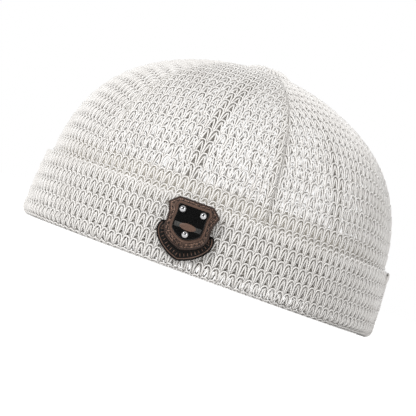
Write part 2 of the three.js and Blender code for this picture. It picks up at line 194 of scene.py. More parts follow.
def make_object(name, shape, material=None):
    """An object from vertices, faces and UVs."""
    verts, faces, uvs = shape
    mesh = bpy.data.meshes.new(name)
    mesh.from_pydata([tuple(v) for v in verts], [], faces, shade_flat=False)
    layer = mesh.uv_layers.new(name="UVMap")
    layer.data.foreach_set("uv", [c for face in uvs for uv in face for c in uv])
    if material:
        mesh.materials.append(material)
    return put_in_scene(name, mesh)


def object_from(name, bm, materials=()):
    """An object from a mesh that was edited in bmesh."""
    mesh = bpy.data.meshes.new(name)
    bm.to_mesh(mesh)
    bm.free()
    for material in materials:
        mesh.materials.append(material)
    return put_in_scene(name, mesh)


def smooth_faces(bm):
    for face in bm.faces:
        face.smooth = True


def bmesh_of(obj):
    """An object's mesh, ready to be edited."""
    bm = bmesh.new()
    bm.from_mesh(obj.data)
    return bm


def outward(obj):
    """Merges doubles and turns every face out, for a closed mesh."""
    bm = bmesh_of(obj)
    bmesh.ops.remove_doubles(bm, verts=bm.verts, dist=1e-7)
    bmesh.ops.recalc_face_normals(bm, faces=bm.faces)
    bm.to_mesh(obj.data)
    bm.free()
    return obj


def move_points(obj, mapping):
    """Sends every vertex through a function of arrays."""
    mesh = obj.data
    co = np.empty(len(mesh.vertices) * 3)
    mesh.vertices.foreach_get("co", co)
    moved = mapping(co.reshape(-1, 3))
    mesh.vertices.foreach_set("co", moved.ravel())
    mesh.update()
    return obj


def hand_over(obj, slot, *nodes):
    """A finished piece rides on the body and stands for its solids. The slot is not used."""
    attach(obj, "root")
    if nodes:
        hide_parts(*nodes)
    obj.data.calc_loop_triangles()
    print(obj.name, "triangles:", len(obj.data.loop_triangles))
    return obj


# %% [markdown]
# ## Finishes
# The real cap mixes soft yarn, cloth, webbing, leather, moulded plastic and metal. Three effects
# come back in more than one of them: the twist of yarn and thread, the grain of leather and moulded
# plastic, and the crossed weave of cloth. Each is a node group that puts out a mask and a height, and
# each material sets its own colour and gloss. That keeps one good weave instead of three poor ones.

# %% Shader helpers
def new_group(name, inputs, outputs):
    """A shader node group with float inputs that have defaults, and float outputs."""
    group = bpy.data.node_groups.new(name, "ShaderNodeTree")
    for label, value in inputs.items():
        socket = group.interface.new_socket(label, in_out="INPUT", socket_type="NodeSocketFloat")
        socket.default_value = value
    for label in outputs:
        group.interface.new_socket(label, in_out="OUTPUT", socket_type="NodeSocketFloat")
    return group, group.nodes.new("NodeGroupInput"), group.nodes.new("NodeGroupOutput")


def add(tree, kind, **settings):
    """Adds a node. Settings with a plain name are its options, and numbered ones are its inputs."""
    node = tree.nodes.new(kind)
    for key, value in settings.items():
        if key.startswith("in_"):
            node.inputs[int(key[3:])].default_value = value
        else:
            setattr(node, key, value)
    return node


def maths(tree, operation, a, b=None):
    """One step of arithmetic on values, each of them a number or a socket."""
    node = add(tree, "ShaderNodeMath", operation=operation)
    for k, value in enumerate((a, b)):
        if value is None:
            continue
        if isinstance(value, (int, float)):
            node.inputs[k].default_value = value
        else:
            tree.links.new(value, node.inputs[k])
    return node.outputs[0]


def shares(tree, first, first_share, second, second_share):
    """The sum of two values, each taken by its share."""
    return maths(tree, "ADD", maths(tree, "MULTIPLY", first, first_share),
                 maths(tree, "MULTIPLY", second, second_share))


def lay_in_object(tree, *textures):
    """Places textures by the piece's own coordinates, in metres."""
    place = add(tree, "ShaderNodeTexCoord")
    for texture in textures:
        tree.links.new(place.outputs["Object"], texture.inputs["Vector"])


def uv_numbers(tree):
    """The two numbers of the piece's UV map."""
    uv = add(tree, "ShaderNodeUVMap", uv_map="UVMap")
    parts = add(tree, "ShaderNodeSeparateXYZ")
    tree.links.new(uv.outputs[0], parts.inputs[0])
    return parts.outputs[0], parts.outputs[1]


def ramp(tree, value, stops):
    """A colour ramp from a list of (place, colour)."""
    node = add(tree, "ShaderNodeValToRGB")
    elements = node.color_ramp.elements
    while len(elements) < len(stops):
        elements.new(0.5)
    for element, (place, colour) in zip(elements, stops):
        element.position = place
        element.color = (*colour, 1)
    tree.links.new(value, node.inputs[0])
    return node.outputs[0]


# %% The twist of yarn and thread
def twist_group():
    """Plies that wind round a tube. The UV map holds its length and its turn."""
    group, given, out = new_group("Twist", {"Pitch": 0.002, "Plies": 2.0, "Fuzz": 0.35}, ["Height"])
    along, around = uv_numbers(group)
    turn = maths(group, "ADD", maths(group, "DIVIDE", along, given.outputs["Pitch"]), around)
    wave = maths(group, "MULTIPLY", turn, given.outputs["Plies"])
    height = maths(group, "ABSOLUTE", maths(group, "SINE", maths(group, "MULTIPLY", wave, math.pi)))
    noise = add(group, "ShaderNodeTexNoise", in_2=2600.0, in_3=2.0)
    lay_in_object(group, noise)
    fuzz = maths(group, "MULTIPLY", noise.outputs[0], given.outputs["Fuzz"])
    group.links.new(maths(group, "ADD", height, fuzz), out.inputs["Height"])
    return group


TWIST = twist_group()


# %% The grain of leather and moulded plastic
def grain_group():
    """Cells with creases between them, over soft bumps."""
    group, given, out = new_group("Grain", {"Size": 0.001, "Crease": 0.5}, ["Height", "Patch"])
    density = maths(group, "DIVIDE", 1.0, given.outputs["Size"])
    cells = add(group, "ShaderNodeTexVoronoi", feature="DISTANCE_TO_EDGE")
    soft = add(group, "ShaderNodeTexNoise", in_3=4.0)
    broad = add(group, "ShaderNodeTexNoise", in_3=2.0)
    lay_in_object(group, cells, soft, broad)
    group.links.new(density, cells.inputs["Scale"])
    group.links.new(maths(group, "MULTIPLY", density, 1.7), soft.inputs["Scale"])
    group.links.new(maths(group, "MULTIPLY", density, 0.12), broad.inputs["Scale"])
    edge = maths(group, "MINIMUM", maths(group, "MULTIPLY", cells.outputs["Distance"], 5.0), 1.0)
    crease = maths(group, "MULTIPLY", edge, given.outputs["Crease"])
    group.links.new(maths(group, "ADD", crease, soft.outputs[0]), out.inputs["Height"])
    group.links.new(broad.outputs[0], out.inputs["Patch"])
    return group


GRAIN = grain_group()


# %% The weave of cloth
def weave_group():
    """Diagonal ribs of twill crossed by single threads, on the piece's UV map in metres."""
    inputs = {"Pitch": 0.0008, "Slant": 1.0}
    group, given, out = new_group("Weave", inputs, ["Height", "Patch"])
    across, upward = (maths(group, "DIVIDE", metres, given.outputs["Pitch"])
                      for metres in uv_numbers(group))
    slanted = maths(group, "ADD", across, maths(group, "MULTIPLY", upward, given.outputs["Slant"]))
    rib = maths(group, "SINE", maths(group, "MULTIPLY", slanted, 2 * math.pi))
    thread = maths(group, "SINE", maths(group, "MULTIPLY", upward, 4 * math.pi))
    both = shares(group, rib, 0.35, thread, 0.15)
    slub = add(group, "ShaderNodeTexNoise", in_2=900.0, in_3=3.0)
    broad = add(group, "ShaderNodeTexNoise", in_2=45.0, in_3=3.0)
    lay_in_object(group, slub, broad)
    rough = maths(group, "MULTIPLY", slub.outputs[0], 0.5)
    group.links.new(maths(group, "ADD", maths(group, "ADD", both, 0.5), rough), out.inputs["Height"])
    group.links.new(broad.outputs[0], out.inputs["Patch"])
    return group


WEAVE = weave_group()
print("shared effects:", [g.name for g in (TWIST, GRAIN, WEAVE)])


# %% Materials
def new_material(name, roughness, group, values, bump, **sockets):
    """A Principled material with a bump from a shared effect. Returns it with its nodes to colour.

    bump is a strength and a distance."""
    material = bpy.data.materials.new(name)
    material.use_nodes = True
    tree = material.node_tree
    shader = tree.nodes["Principled BSDF"]
    shader.inputs["Roughness"].default_value = roughness
    for label, value in sockets.items():
        shader.inputs[label.replace("_", " ")].default_value = value
    effect = add(tree, "ShaderNodeGroup", node_tree=group)
    for label, value in values.items():
        effect.inputs[label].default_value = value
    relief = add(tree, "ShaderNodeBump")
    relief.inputs["Strength"].default_value, relief.inputs["Distance"].default_value = bump
    tree.links.new(effect.outputs["Height"], relief.inputs["Height"])
    tree.links.new(relief.outputs[0], shader.inputs["Normal"])
    return material, tree, shader, effect


def yarn_material(name, dark, light, roughness, pitch, sheen=0.25):
    """Twisted yarn, with painted shade in the grooves between its plies, and slightly uneven from place to
    place.
    """
    material, tree, shader, effect = new_material(
        name, roughness, TWIST, {"Pitch": pitch, "Plies": 2.0}, (0.35, 0.00012),
        Sheen_Weight=sheen, Sheen_Roughness=0.4, Specular_IOR_Level=0.45)
    noise = add(tree, "ShaderNodeTexNoise", in_2=60.0, in_3=2.0)
    lay_in_object(tree, noise)
    mask = shares(tree, effect.outputs["Height"], 0.55, noise.outputs[0], 0.5)
    tree.links.new(ramp(tree, mask, [(0.15, dark), (0.8, light)]), shader.inputs["Base Color"])
    return material


def cloth_material(name, dark, light, pitch, slant, roughness, sheen, shine=0.3):
    """Woven cloth, with its threads in relief, painted shade in the grooves between them, and broad uneven
    patches.
    """
    material, tree, shader, effect = new_material(
        name, roughness, WEAVE, {"Pitch": pitch, "Slant": slant}, (0.6, 0.00025),
        Sheen_Weight=sheen, Sheen_Roughness=0.5, Specular_IOR_Level=shine)
    mask = shares(tree, effect.outputs["Height"], 0.5, effect.outputs["Patch"], 0.5)
    tree.links.new(ramp(tree, mask, [(0.25, dark), (0.75, light)]), shader.inputs["Base Color"])
    return material


def grained_material(name, dark, light, size, crease, roughness, bump, shine=0.5, span=(0.3, 0.75)):
    """Leather or moulded plastic: creases darker, worn high spots lighter and smoother.

    span is how far the relief goes from the dark colour to the light one."""
    material, tree, shader, effect = new_material(
        name, roughness, GRAIN, {"Size": size, "Crease": crease}, bump, Specular_IOR_Level=shine)
    mask = shares(tree, effect.outputs["Height"], 0.45, effect.outputs["Patch"], 0.5)
    tree.links.new(ramp(tree, mask, [(span[0], dark), (span[1], light)]), shader.inputs["Base Color"])
    gloss = maths(tree, "SUBTRACT", roughness + 0.12, maths(tree, "MULTIPLY", mask, 0.25))
    tree.links.new(gloss, shader.inputs["Roughness"])
    return material


# Each yarn's dark end is partly painted shade, laid in the grooves between plies, and partly the yarn's own
# unevenness.
YARN = yarn_material("white_yarn", (0.56, 0.52, 0.48), (0.87, 0.855, 0.835), 0.5, 1.6 * MM)
TWILL = cloth_material("beige_twill", (0.36, 0.30, 0.23), (0.50, 0.43, 0.35), 0.8 * MM, 1.0, 0.85, 0.3)
# A lighter copy of the twill for the facing's outward faces: painted light.
TWILL_PAINTED_LIGHT = cloth_material("cream_twill_painted_light", (0.66, 0.62, 0.55), (0.80, 0.77, 0.71), 0.8 * MM, 1.0, 0.85, 0.3)
TAPE = cloth_material("cream_tape", (0.68, 0.65, 0.60), (0.82, 0.80, 0.76), 0.7 * MM, 0.0, 0.85, 0.3)
THREAD = yarn_material("pale_thread", (0.42, 0.37, 0.30), (0.66, 0.61, 0.53), 0.6, 0.7 * MM)
WHITE_THREAD = yarn_material("white_thread", (0.80, 0.78, 0.75), (0.97, 0.96, 0.94), 0.4, 0.7 * MM)
# A dark brown for the cord along the facing's hem: painted shade for the shadow line under its edge.
HEM_SHADOW_BROWN = yarn_material("brown_edge", (0.05, 0.032, 0.022), (0.12, 0.08, 0.055), 0.7, 1.0 * MM,
                           sheen=0.1)
# The webbing's colour ribs share this pitch with the strap's geometric ribs, so its grooves are painted
# darker: painted shade.
RIB_PITCH = 1.0 * MM
WEBBING = cloth_material("black_webbing", (0.0015, 0.0015, 0.0017), (0.017, 0.017, 0.018),
                         RIB_PITCH, 0.0, 0.6, 0.03, shine=0.1)
PLASTIC = grained_material("black_plastic", (0.007, 0.007, 0.008), (0.017, 0.017, 0.019),
                           0.35 * MM, 0.15, 0.42, (0.15, 0.00004))
LEATHER = grained_material("brown_leather", (0.022, 0.011, 0.008), (0.30, 0.185, 0.135),
                           1.2 * MM, 0.7, 0.55, (0.8, 0.0002), shine=0.25, span=(0.48, 0.96))
SMOOTH_LEATHER = grained_material("smooth_brown_leather", (0.085, 0.048, 0.034), (0.15, 0.088, 0.063),
                                  0.9 * MM, 0.2, 0.45, (0.2, 0.00005), shine=0.3)
# A dark brown for the shield's edge, its tooled groove and the lip's edge: painted shade for the thin
# shadow lines round them.
PAINTED_SHADE_EDGE = grained_material("leather_edge_painted_shade", (0.018, 0.011, 0.009), (0.05, 0.03, 0.023),
                                0.4 * MM, 0.3, 0.55, (0.3, 0.00005), shine=0.25)
BLACK_LEATHER = grained_material("black_leather", (0.003, 0.0026, 0.0026), (0.011, 0.010, 0.0095),
                                 0.7 * MM, 0.6, 0.6, (0.5, 0.0001), shine=0.1)
WORN_BLACK = grained_material("worn_black", (0.010, 0.010, 0.010), (0.085, 0.083, 0.078),
                              0.7 * MM, 0.6, 0.5, (0.3, 0.00005), shine=0.2, span=(0.42, 0.96))
GLOSS = grained_material("gloss_black", (0.002, 0.002, 0.002), (0.005, 0.005, 0.005),
                         2.5 * MM, 0.0, 0.2, (0.03, 0.00003), shine=0.35)
STITCH_BROWN = yarn_material("dark_stitch", (0.005, 0.003, 0.003), (0.015, 0.010, 0.008), 0.8, 0.6 * MM,
                             sheen=0.02)
STEEL = grained_material("polished_steel", (0.58, 0.58, 0.59), (0.78, 0.78, 0.79),
                         0.9 * MM, 0.1, 0.12, (0.05, 0.00002))
STEEL.node_tree.nodes["Principled BSDF"].inputs["Metallic"].default_value = 1.0
print("materials:", len(bpy.data.materials))

# %% [markdown]
# ## Camera, light and floor
# The photograph looks at the cap's left front from far away, tilted, and from a little below its rim.
# A resting cap can only be seen from above the floor, so the camera keeps the angle round the cap,
# the long lens and the tilt, and stands just above the floor. The floor and the air behind are white
# and even, with one broad light in front and weaker ones on the right and behind. The floor is clear to
# a camera below it, so that the inside of the cap can be looked at from there too. A tall dark card
# beside the camera shows in nothing but the shiny pieces, as a photographer's black flag does.

# %% Camera
AZIMUTH = math.radians(44.5)
CAMERA_HEIGHT = 16 * MM
CAMERA_DISTANCE = 1140 * MM
CAMERA_ROLL = math.radians(20)
LENS = 184.5
AIM_HEIGHT = 36 * MM
AIM_ASIDE = -4.5 * MM


def make_camera():
    """A long lens at the photograph's angle, turned about its own axis."""
    toward = Vector((math.sin(AZIMUTH), -math.cos(AZIMUTH), 0))
    right = Vector((math.cos(AZIMUTH), math.sin(AZIMUTH), 0))
    target = Vector((0, 0, AIM_HEIGHT)) + right * AIM_ASIDE
    place = target + toward * CAMERA_DISTANCE
    place.z = CAMERA_HEIGHT
    back = (place - target).normalized()
    side = Vector((0, 0, 1)).cross(back).normalized()
    up = back.cross(side)
    rolled_side = side * math.cos(CAMERA_ROLL) + up * math.sin(CAMERA_ROLL)
    rolled_up = up * math.cos(CAMERA_ROLL) - side * math.sin(CAMERA_ROLL)
    data = bpy.data.cameras.new("camera")
    data.lens = LENS
    data.clip_end = 50
    camera = put_in_scene("camera", data)
    axes = Matrix((rolled_side, rolled_up, back)).transposed()
    camera.matrix_world = Matrix.Translation(place) @ axes.to_4x4()
    scene.camera = camera
    print("camera above the floor mm:", round(place.z / MM))


make_camera()


# %% Light and floor
LIT_POINT = Vector((0, 0, 50 * MM))
FLOOR_HALF = 30.0


def area_light(name, place, size, watts):
    """A square soft light that looks at the cap's middle."""
    data = bpy.data.lights.new(name, "AREA")
    data.size = size
    data.energy = watts
    light = put_in_scene(name, data)
    light.location = place
    light.rotation_mode = "QUATERNION"
    light.rotation_quaternion = (Vector(place) - LIT_POINT).to_track_quat("Z", "Y")


def make_world(seen, given):
    """White air: seen is its brightness to the camera, and given what it lights the cap with."""
    world = bpy.data.worlds.new("world")
    scene.world = world
    world.use_nodes = True
    tree = world.node_tree
    background = tree.nodes["Background"]
    background.inputs["Color"].default_value = (1, 1, 1, 1)
    camera_ray = add(tree, "ShaderNodeLightPath").outputs["Is Camera Ray"]
    strength = maths(tree, "ADD", maths(tree, "MULTIPLY", camera_ray, seen - given), given)
    tree.links.new(strength, background.inputs["Strength"])


def make_floor(glow):
    """A white floor. Its glow reaches the camera alone, and keeps it as white as the air."""
    corners = [(x * FLOOR_HALF, y * FLOOR_HALF, 0) for x, y in ((-1, -1), (1, -1), (1, 1), (-1, 1))]
    material = bpy.data.materials.new("white_floor")
    material.use_nodes = True
    tree = material.node_tree
    shader = tree.nodes["Principled BSDF"]
    shader.inputs["Base Color"].default_value = (0.93, 0.93, 0.93, 1)
    shader.inputs["Roughness"].default_value = 0.9
    shader.inputs["Specular IOR Level"].default_value = 0.0
    shader.inputs["Emission Color"].default_value = (1, 1, 1, 1)
    camera_ray = add(tree, "ShaderNodeLightPath").outputs["Is Camera Ray"]
    tree.links.new(maths(tree, "MULTIPLY", camera_ray, glow), shader.inputs["Emission Strength"])
    backface = add(tree, "ShaderNodeNewGeometry").outputs["Backfacing"]
    below = maths(tree, "MULTIPLY", backface, camera_ray)
    clear = add(tree, "ShaderNodeBsdfTransparent")
    mix = add(tree, "ShaderNodeMixShader")
    tree.links.new(below, mix.inputs[0])
    tree.links.new(shader.outputs[0], mix.inputs[1])
    tree.links.new(clear.outputs[0], mix.inputs[2])
    tree.links.new(mix.outputs[0], tree.nodes["Material Output"].inputs["Surface"])
    make_object("floor", quad(corners), material)


def make_dark_card(azimuth, distance, width, height):
    """A card that only reflections see."""
    toward = Vector((math.sin(azimuth), -math.cos(azimuth), 0)) * distance
    side = Vector((math.cos(azimuth), math.sin(azimuth), 0)) * width / 2
    top = Vector((0, 0, height))
    corners = [toward - side, toward + side, toward + side + top, toward - side + top]
    material = bpy.data.materials.new("dark_card")
    material.use_nodes = True
    shader = material.node_tree.nodes["Principled BSDF"]
    shader.inputs["Base Color"].default_value = (0.01, 0.01, 0.01, 1)
    card = make_object("dark_card", quad(corners), material)
    card.visible_camera = False
    card.visible_diffuse = False
    card.visible_shadow = False


scene.view_settings.view_transform = "Standard"
make_world(seen=1.0, given=0.5)
area_light("key", (0.1, -1.9, 1.2), 0.8, 32)
area_light("fill", (1.9, -0.2, 0.8), 1.2, 8.5)
area_light("back", (-0.9, 1.6, 0.9), 1.2, 16)
make_floor(glow=0.56)
make_dark_card(math.radians(33), distance=0.7, width=0.95, height=1.5)

# %% [markdown]
# ## The yarn loop
# The mesh is knitted in straight columns of tall loops. Each loop is a thick arch that stands on the
# pair below, with a narrower strand looped inside it, and the cloth is open between that strand's
# feet. One loop is made from two short tables. Geometry Nodes then lay it at every place of a
# flat panel, and the flat panel is bent over the wall, which is how the real thing is made: knitted,
# cut and sewn.

# %% One loop
LOOP_WIDTH = 4.4 * MM
LOOP_HEIGHT = 7.0 * MM
KNIT_MIDDLE = 1.0 * MM
ARCH_SIDE = [  # across, up, out from the cloth's middle and the yarn's radius in mm, from the foot up
    (-2.04, -4.55, -0.35, 0.27),
    (-2.10, -3.10, 0.02, 0.32),
    (-2.10, -1.20, 0.24, 0.35),
    (-2.04, 0.80, 0.32, 0.36),
    (-1.76, 2.25, 0.38, 0.37),
    (-1.08, 3.20, 0.44, 0.38),
]
ARCH_HEAD = (0.0, 3.54, 0.44, 0.38)
INNER_SIDE = [
    (-1.48, -3.90, -0.48, 0.27),
    (-1.26, -2.50, -0.12, 0.35),
    (-0.98, -1.10, 0.04, 0.41),
    (-0.70, 0.20, 0.12, 0.43),
    (-0.42, 1.40, 0.18, 0.41),
]
INNER_HEAD = (0.05, 2.35, 0.20, 0.34)
YARN_SIDES = 5


def strand(side, head, count):
    """A tube up one side, over the head and down the mirrored side."""
    other_side = [(-x, y, z, radius) for x, y, z, radius in reversed(side)]
    rows = smooth_path([*side, head, *other_side], count) * MM
    return tube(rows[:, :3], rows[:, 3], YARN_SIDES)


arch = strand(ARCH_SIDE, ARCH_HEAD, 15)
inner_strand = strand(INNER_SIDE, INNER_HEAD, 11)
loop = make_object("loop", joined([arch, inner_strand]))
print("faces in a loop:", len(loop.data.polygons))


# %% A tree that lays one shape at many points
def lay_tree():
    """Puts a shape at each point, sized by the point's fit and a little uneven, as real meshes."""
    tree = bpy.data.node_groups.new("Lay shapes", "GeometryNodeTree")
    sockets = [("Points", "NodeSocketGeometry", None), ("Shape", "NodeSocketObject", None),
               ("Tilt", "NodeSocketFloat", 0.0), ("Uneven", "NodeSocketFloat", 0.0),
               ("Seed", "NodeSocketInt", 0), ("Material", "NodeSocketMaterial", None)]
    for label, kind, value in sockets:
        socket = tree.interface.new_socket(label, in_out="INPUT", socket_type=kind)
        if value is not None:
            socket.default_value = value
    tree.interface.new_socket("Geometry", in_out="OUTPUT", socket_type="NodeSocketGeometry")
    given = tree.nodes.new("NodeGroupInput")
    out = tree.nodes.new("NodeGroupOutput")
    link = tree.links.new
    shape = tree.nodes.new("GeometryNodeObjectInfo")
    link(given.outputs["Shape"], shape.inputs["Object"])
    fit, turn = (add(tree, "GeometryNodeInputNamedAttribute", data_type="FLOAT_VECTOR") for _ in range(2))
    fit.inputs["Name"].default_value = "fit"
    turn.inputs["Name"].default_value = "turn"
    sway = add(tree, "FunctionNodeRandomValue", data_type="FLOAT")
    link(maths(tree, "MULTIPLY", given.outputs["Tilt"], -1.0), sway.inputs[2])
    link(given.outputs["Tilt"], sway.inputs[3])
    link(given.outputs["Seed"], sway.inputs["Seed"])
    spin = tree.nodes.new("ShaderNodeCombineXYZ")
    link(sway.outputs[1], spin.inputs[2])
    rotation = add(tree, "ShaderNodeVectorMath", operation="ADD")
    link(turn.outputs[0], rotation.inputs[0])
    link(spin.outputs[0], rotation.inputs[1])
    swell = add(tree, "FunctionNodeRandomValue", data_type="FLOAT")
    link(maths(tree, "SUBTRACT", 1.0, given.outputs["Uneven"]), swell.inputs[2])
    link(maths(tree, "ADD", 1.0, given.outputs["Uneven"]), swell.inputs[3])
    link(maths(tree, "ADD", given.outputs["Seed"], 7.0), swell.inputs["Seed"])
    size = add(tree, "ShaderNodeVectorMath", operation="SCALE")
    link(fit.outputs[0], size.inputs[0])
    link(swell.outputs[1], size.inputs["Scale"])
    lay = tree.nodes.new("GeometryNodeInstanceOnPoints")
    link(given.outputs["Points"], lay.inputs["Points"])
    link(shape.outputs["Geometry"], lay.inputs["Instance"])
    link(rotation.outputs[0], lay.inputs["Rotation"])
    link(size.outputs[0], lay.inputs["Scale"])
    real = tree.nodes.new("GeometryNodeRealizeInstances")
    link(lay.outputs[0], real.inputs[0])
    finish = tree.nodes.new("GeometryNodeSetMaterial")
    link(real.outputs[0], finish.inputs["Geometry"])
    link(given.outputs["Material"], finish.inputs["Material"])
    link(finish.outputs[0], out.inputs[0])
    return tree


LAY = lay_tree()


def laid(name, shape, points, fits, material, turns=None, tilt=0.0, uneven=0.0, seed=1):
    """A mesh of one shape laid at points, through the tree above."""
    mesh = bpy.data.meshes.new(name)
    mesh.from_pydata([tuple(p) for p in points], [], [])
    turns = np.zeros((len(points), 3)) if turns is None else np.asarray(turns, float)
    for label, rows in (("fit", np.asarray(fits, float)), ("turn", turns)):
        mesh.attributes.new(label, "FLOAT_VECTOR", "POINT").data.foreach_set("vector", rows.ravel())
    obj = put_in_scene(name, mesh)
    modifier = obj.modifiers.new("lay", "NODES")
    modifier.node_group = LAY
    values = {"Shape": shape, "Tilt": tilt, "Uneven": uneven, "Seed": seed, "Material": material}
    for item in LAY.interface.items_tree:
        if item.in_out == "INPUT" and item.name in values:
            modifier[item.identifier] = values[item.name]
    graph = bpy.context.evaluated_depsgraph_get()
    result = bpy.data.meshes.new_from_object(
        obj.evaluated_get(graph), preserve_all_data_layers=True, depsgraph=graph)
    obj.modifiers.clear()
    obj.data = result
    return obj


# %% [markdown]
# ## The crown's gores
# Six pieces of knit are cut to a leaf shape and sewn edge to edge, so the columns of loops stand
# parallel to each piece's own middle and meet the next piece's at a slant, like arrow feathers. A
# flat piece is laid with loops first. Its rows sag a little to the sides when it is bent over the
# dome, as straight rows do on a ball, and the loops at the edges are squeezed into the seam.

# %% Lengths along the crown's profile
CROWN_FOOT = 2.8 * MM
TOP_HOLE = 7 * MM
# The profile in fine steps: its height, its radius, the length over it and how far it leans in.
fine_height = CROWN_HEIGHT * np.sin(np.linspace(0, math.pi / 2, 3000))
fine_radius = MEAN_RADIUS * crown_share(fine_height)
fine_length = path_lengths(np.stack([fine_height, fine_radius], axis=-1))
fine_lean = -np.gradient(fine_radius, fine_length)


def radius_at(length):
    return np.interp(length, fine_length, fine_radius)


def length_at(height):
    return float(np.interp(height, fine_height, fine_length))


def sagged(across, length):
    """The length along the profile of a place on a flat gore, whose rows sag beside its middle."""
    lean = np.interp(length, fine_length, fine_lean)
    return length - across ** 2 * lean / (2 * np.maximum(radius_at(length), TOP_HOLE))


FOOT_LENGTH = length_at(CROWN_FOOT)
TOP_LENGTH = float(np.interp(-TOP_HOLE, -fine_radius, fine_length))
print("crown's length over the top mm:", round((TOP_LENGTH - FOOT_LENGTH) / MM))

# %% From a flat piece to the dome
GORE_HALF = math.radians(30)
SEAM_GAP = 0.1 * MM
SEAM_SQUEEZE = 1.3 * MM
SEAM_DIP = 0.9 * MM
SEAM_DIP_HEIGHTS = (43 * MM, 79 * MM)


def smooth_step(x, low, high):
    """0 below one number and 1 above the other, with a soft climb between them."""
    t = np.clip((x - low) / (high - low), 0, 1)
    return t * t * (3 - 2 * t)


def squeeze(value, limit, margin):
    """Keeps values within plus or minus the limit, packed closer near it."""
    size = np.abs(value)
    beyond = np.maximum(size - (limit - margin), 0)
    held = np.where(beyond > 0, limit - margin * np.exp(-beyond / margin), size)
    return np.sign(value) * held


def crown_place(across, length, middle):
    """Points of a gore's outside from places on the flat piece."""
    length = sagged(across, length)
    radius = radius_at(length)
    z = np.interp(length, fine_length, fine_height)
    turn = squeeze(across / radius, GORE_HALF - SEAM_GAP / radius, SEAM_SQUEEZE / radius)
    share = radius / MEAN_RADIUS
    dip = SEAM_DIP * smooth_step(z, *SEAM_DIP_HEIGHTS) * np.minimum(1, 2 * share)
    dip = dip * np.cos(3 * (turn + middle)) ** 2
    angle = middle + turn
    x = (CROWN_WIDTH * share - dip) * np.sin(angle)
    y = MIDDLE_Y - (CROWN_LENGTH * share - dip) * np.cos(angle)
    return np.stack([x, y, z], axis=-1)


def laid_on(place, flat):
    """Bends flat points over a surface: the first two numbers are the place, the third the height."""
    step = 0.05 * MM
    across, length, out = flat.T
    middle = place(across, length)
    right = place(across + step, length) - place(across - step, length)
    up = place(across, length + step) - place(across, length - step)
    return middle + unit(np.cross(right, up)) * (out - KNIT_MIDDLE)[:, None]


# %% Opening at the back, and knit kept clear of it
OPENING_HALF_WIDTH = 49 * MM
OPENING_SIDE_HEIGHT = 28.8 * MM
OPENING_HEIGHT = 48 * MM
BACK_HEM_HALF_WIDTH = 74 * MM
BACK_HEM_HEIGHT = 4.8 * MM
EDGE_ROLL = 1.0 * MM


def opening_reach(x, z):
    """Below 1 inside the opening, 1 on its edge."""
    above = np.maximum(z - OPENING_SIDE_HEIGHT, 0) / (OPENING_HEIGHT - OPENING_SIDE_HEIGHT)
    return np.hypot(x / OPENING_HALF_WIDTH, above)


def keep_off_opening(co):
    """Moves the knit that would hang into the opening back to its edge, and lifts the low hem."""
    back = co[:, 1] > MIDDLE_Y
    x, z = co[:, 0].copy(), co[:, 2].copy()
    from_middle = np.hypot(co[:, 1] - MIDDLE_Y, x * CROWN_LENGTH / CROWN_WIDTH)
    depth = CROWN_LENGTH * crown_share(z) - from_middle
    reach = opening_reach(x, z)
    inside = back & (reach < 1)
    side = inside & (z < OPENING_SIDE_HEIGHT)
    arch = inside & ~side
    x[side] = np.sign(x[side]) * OPENING_HALF_WIDTH
    x[arch] /= reach[arch]
    z[arch] = OPENING_SIDE_HEIGHT + (z[arch] - OPENING_SIDE_HEIGHT) / reach[arch]
    low = back & (np.abs(x) < BACK_HEM_HALF_WIDTH) & (z < BACK_HEM_HEIGHT)
    z[low] = BACK_HEM_HEIGHT
    moved = inside | low
    half_width = CROWN_WIDTH * crown_share(z) - depth
    half_length = CROWN_LENGTH * crown_share(z) - depth
    y = MIDDLE_Y + half_length * np.sqrt(np.clip(1 - (x / half_width) ** 2, 0, 1))
    out = co.copy()
    out[moved] = np.stack([x, y, z], axis=-1)[moved]
    return out


# %% Gores
GORES = {
    "crown_panel_front_left": 30,
    "crown_panel_side_left": 90,
    "crown_panel_back_left": 150,
    "crown_panel_back_right": 210,
    "crown_panel_side_right": 270,
    "crown_panel_front_right": 330,
}
SPARE_WIDTH = 1.12
SEAM_OVERHANG = 0.45 * LOOP_WIDTH


def gore_points(middle, at_back):
    """Where the loops lie on one flat gore, and how far they are stretched to fill it."""
    rows = round((TOP_LENGTH - FOOT_LENGTH) / LOOP_HEIGHT)
    pitch = (TOP_LENGTH - FOOT_LENGTH) / rows
    points = []
    for row in range(rows):
        length = FOOT_LENGTH + (row + 0.5) * pitch
        reach = math.ceil(GORE_HALF * radius_at(length) * SPARE_WIDTH / LOOP_WIDTH)
        for column in range(-reach, reach + 1):
            across = column * LOOP_WIDTH
            if abs(across) > GORE_HALF * radius_at(sagged(across, length)) + SEAM_OVERHANG:
                continue
            x, y, z = crown_place(np.array([across]), np.array([length]), middle)[0]
            if at_back and y > MIDDLE_Y and opening_reach(x, z) < 1:
                continue
            points.append((across, length, 0))
    return points, pitch / LOOP_HEIGHT


def make_gore(name, degrees):
    """One gore: loops laid flat, bent over the dome and kept clear of the opening."""
    middle = math.radians(degrees)
    at_back = "back" in name
    points, stretch = gore_points(middle, at_back)
    fits = [(1, stretch, 1)] * len(points)
    obj = laid("knit_" + name, loop, points, fits, YARN, tilt=0.035, uneven=0.03, seed=degrees)
    move_points(obj, lambda co: laid_on(lambda a, s: crown_place(a, s, middle), co))
    if at_back:
        move_points(obj, keep_off_opening)
    hand_over(obj, "knit", name)
    return len(points)


print("loops in the crown:", sum(make_gore(name, degrees) for name, degrees in GORES.items()))

# %% [markdown]
# ## Seam tapes
# Where two gores meet, the real cap has its cut edges turned in and held under a narrow tape. From
# outside it shows as a pale line behind the holes. Each tape is a thin band that follows the seam.

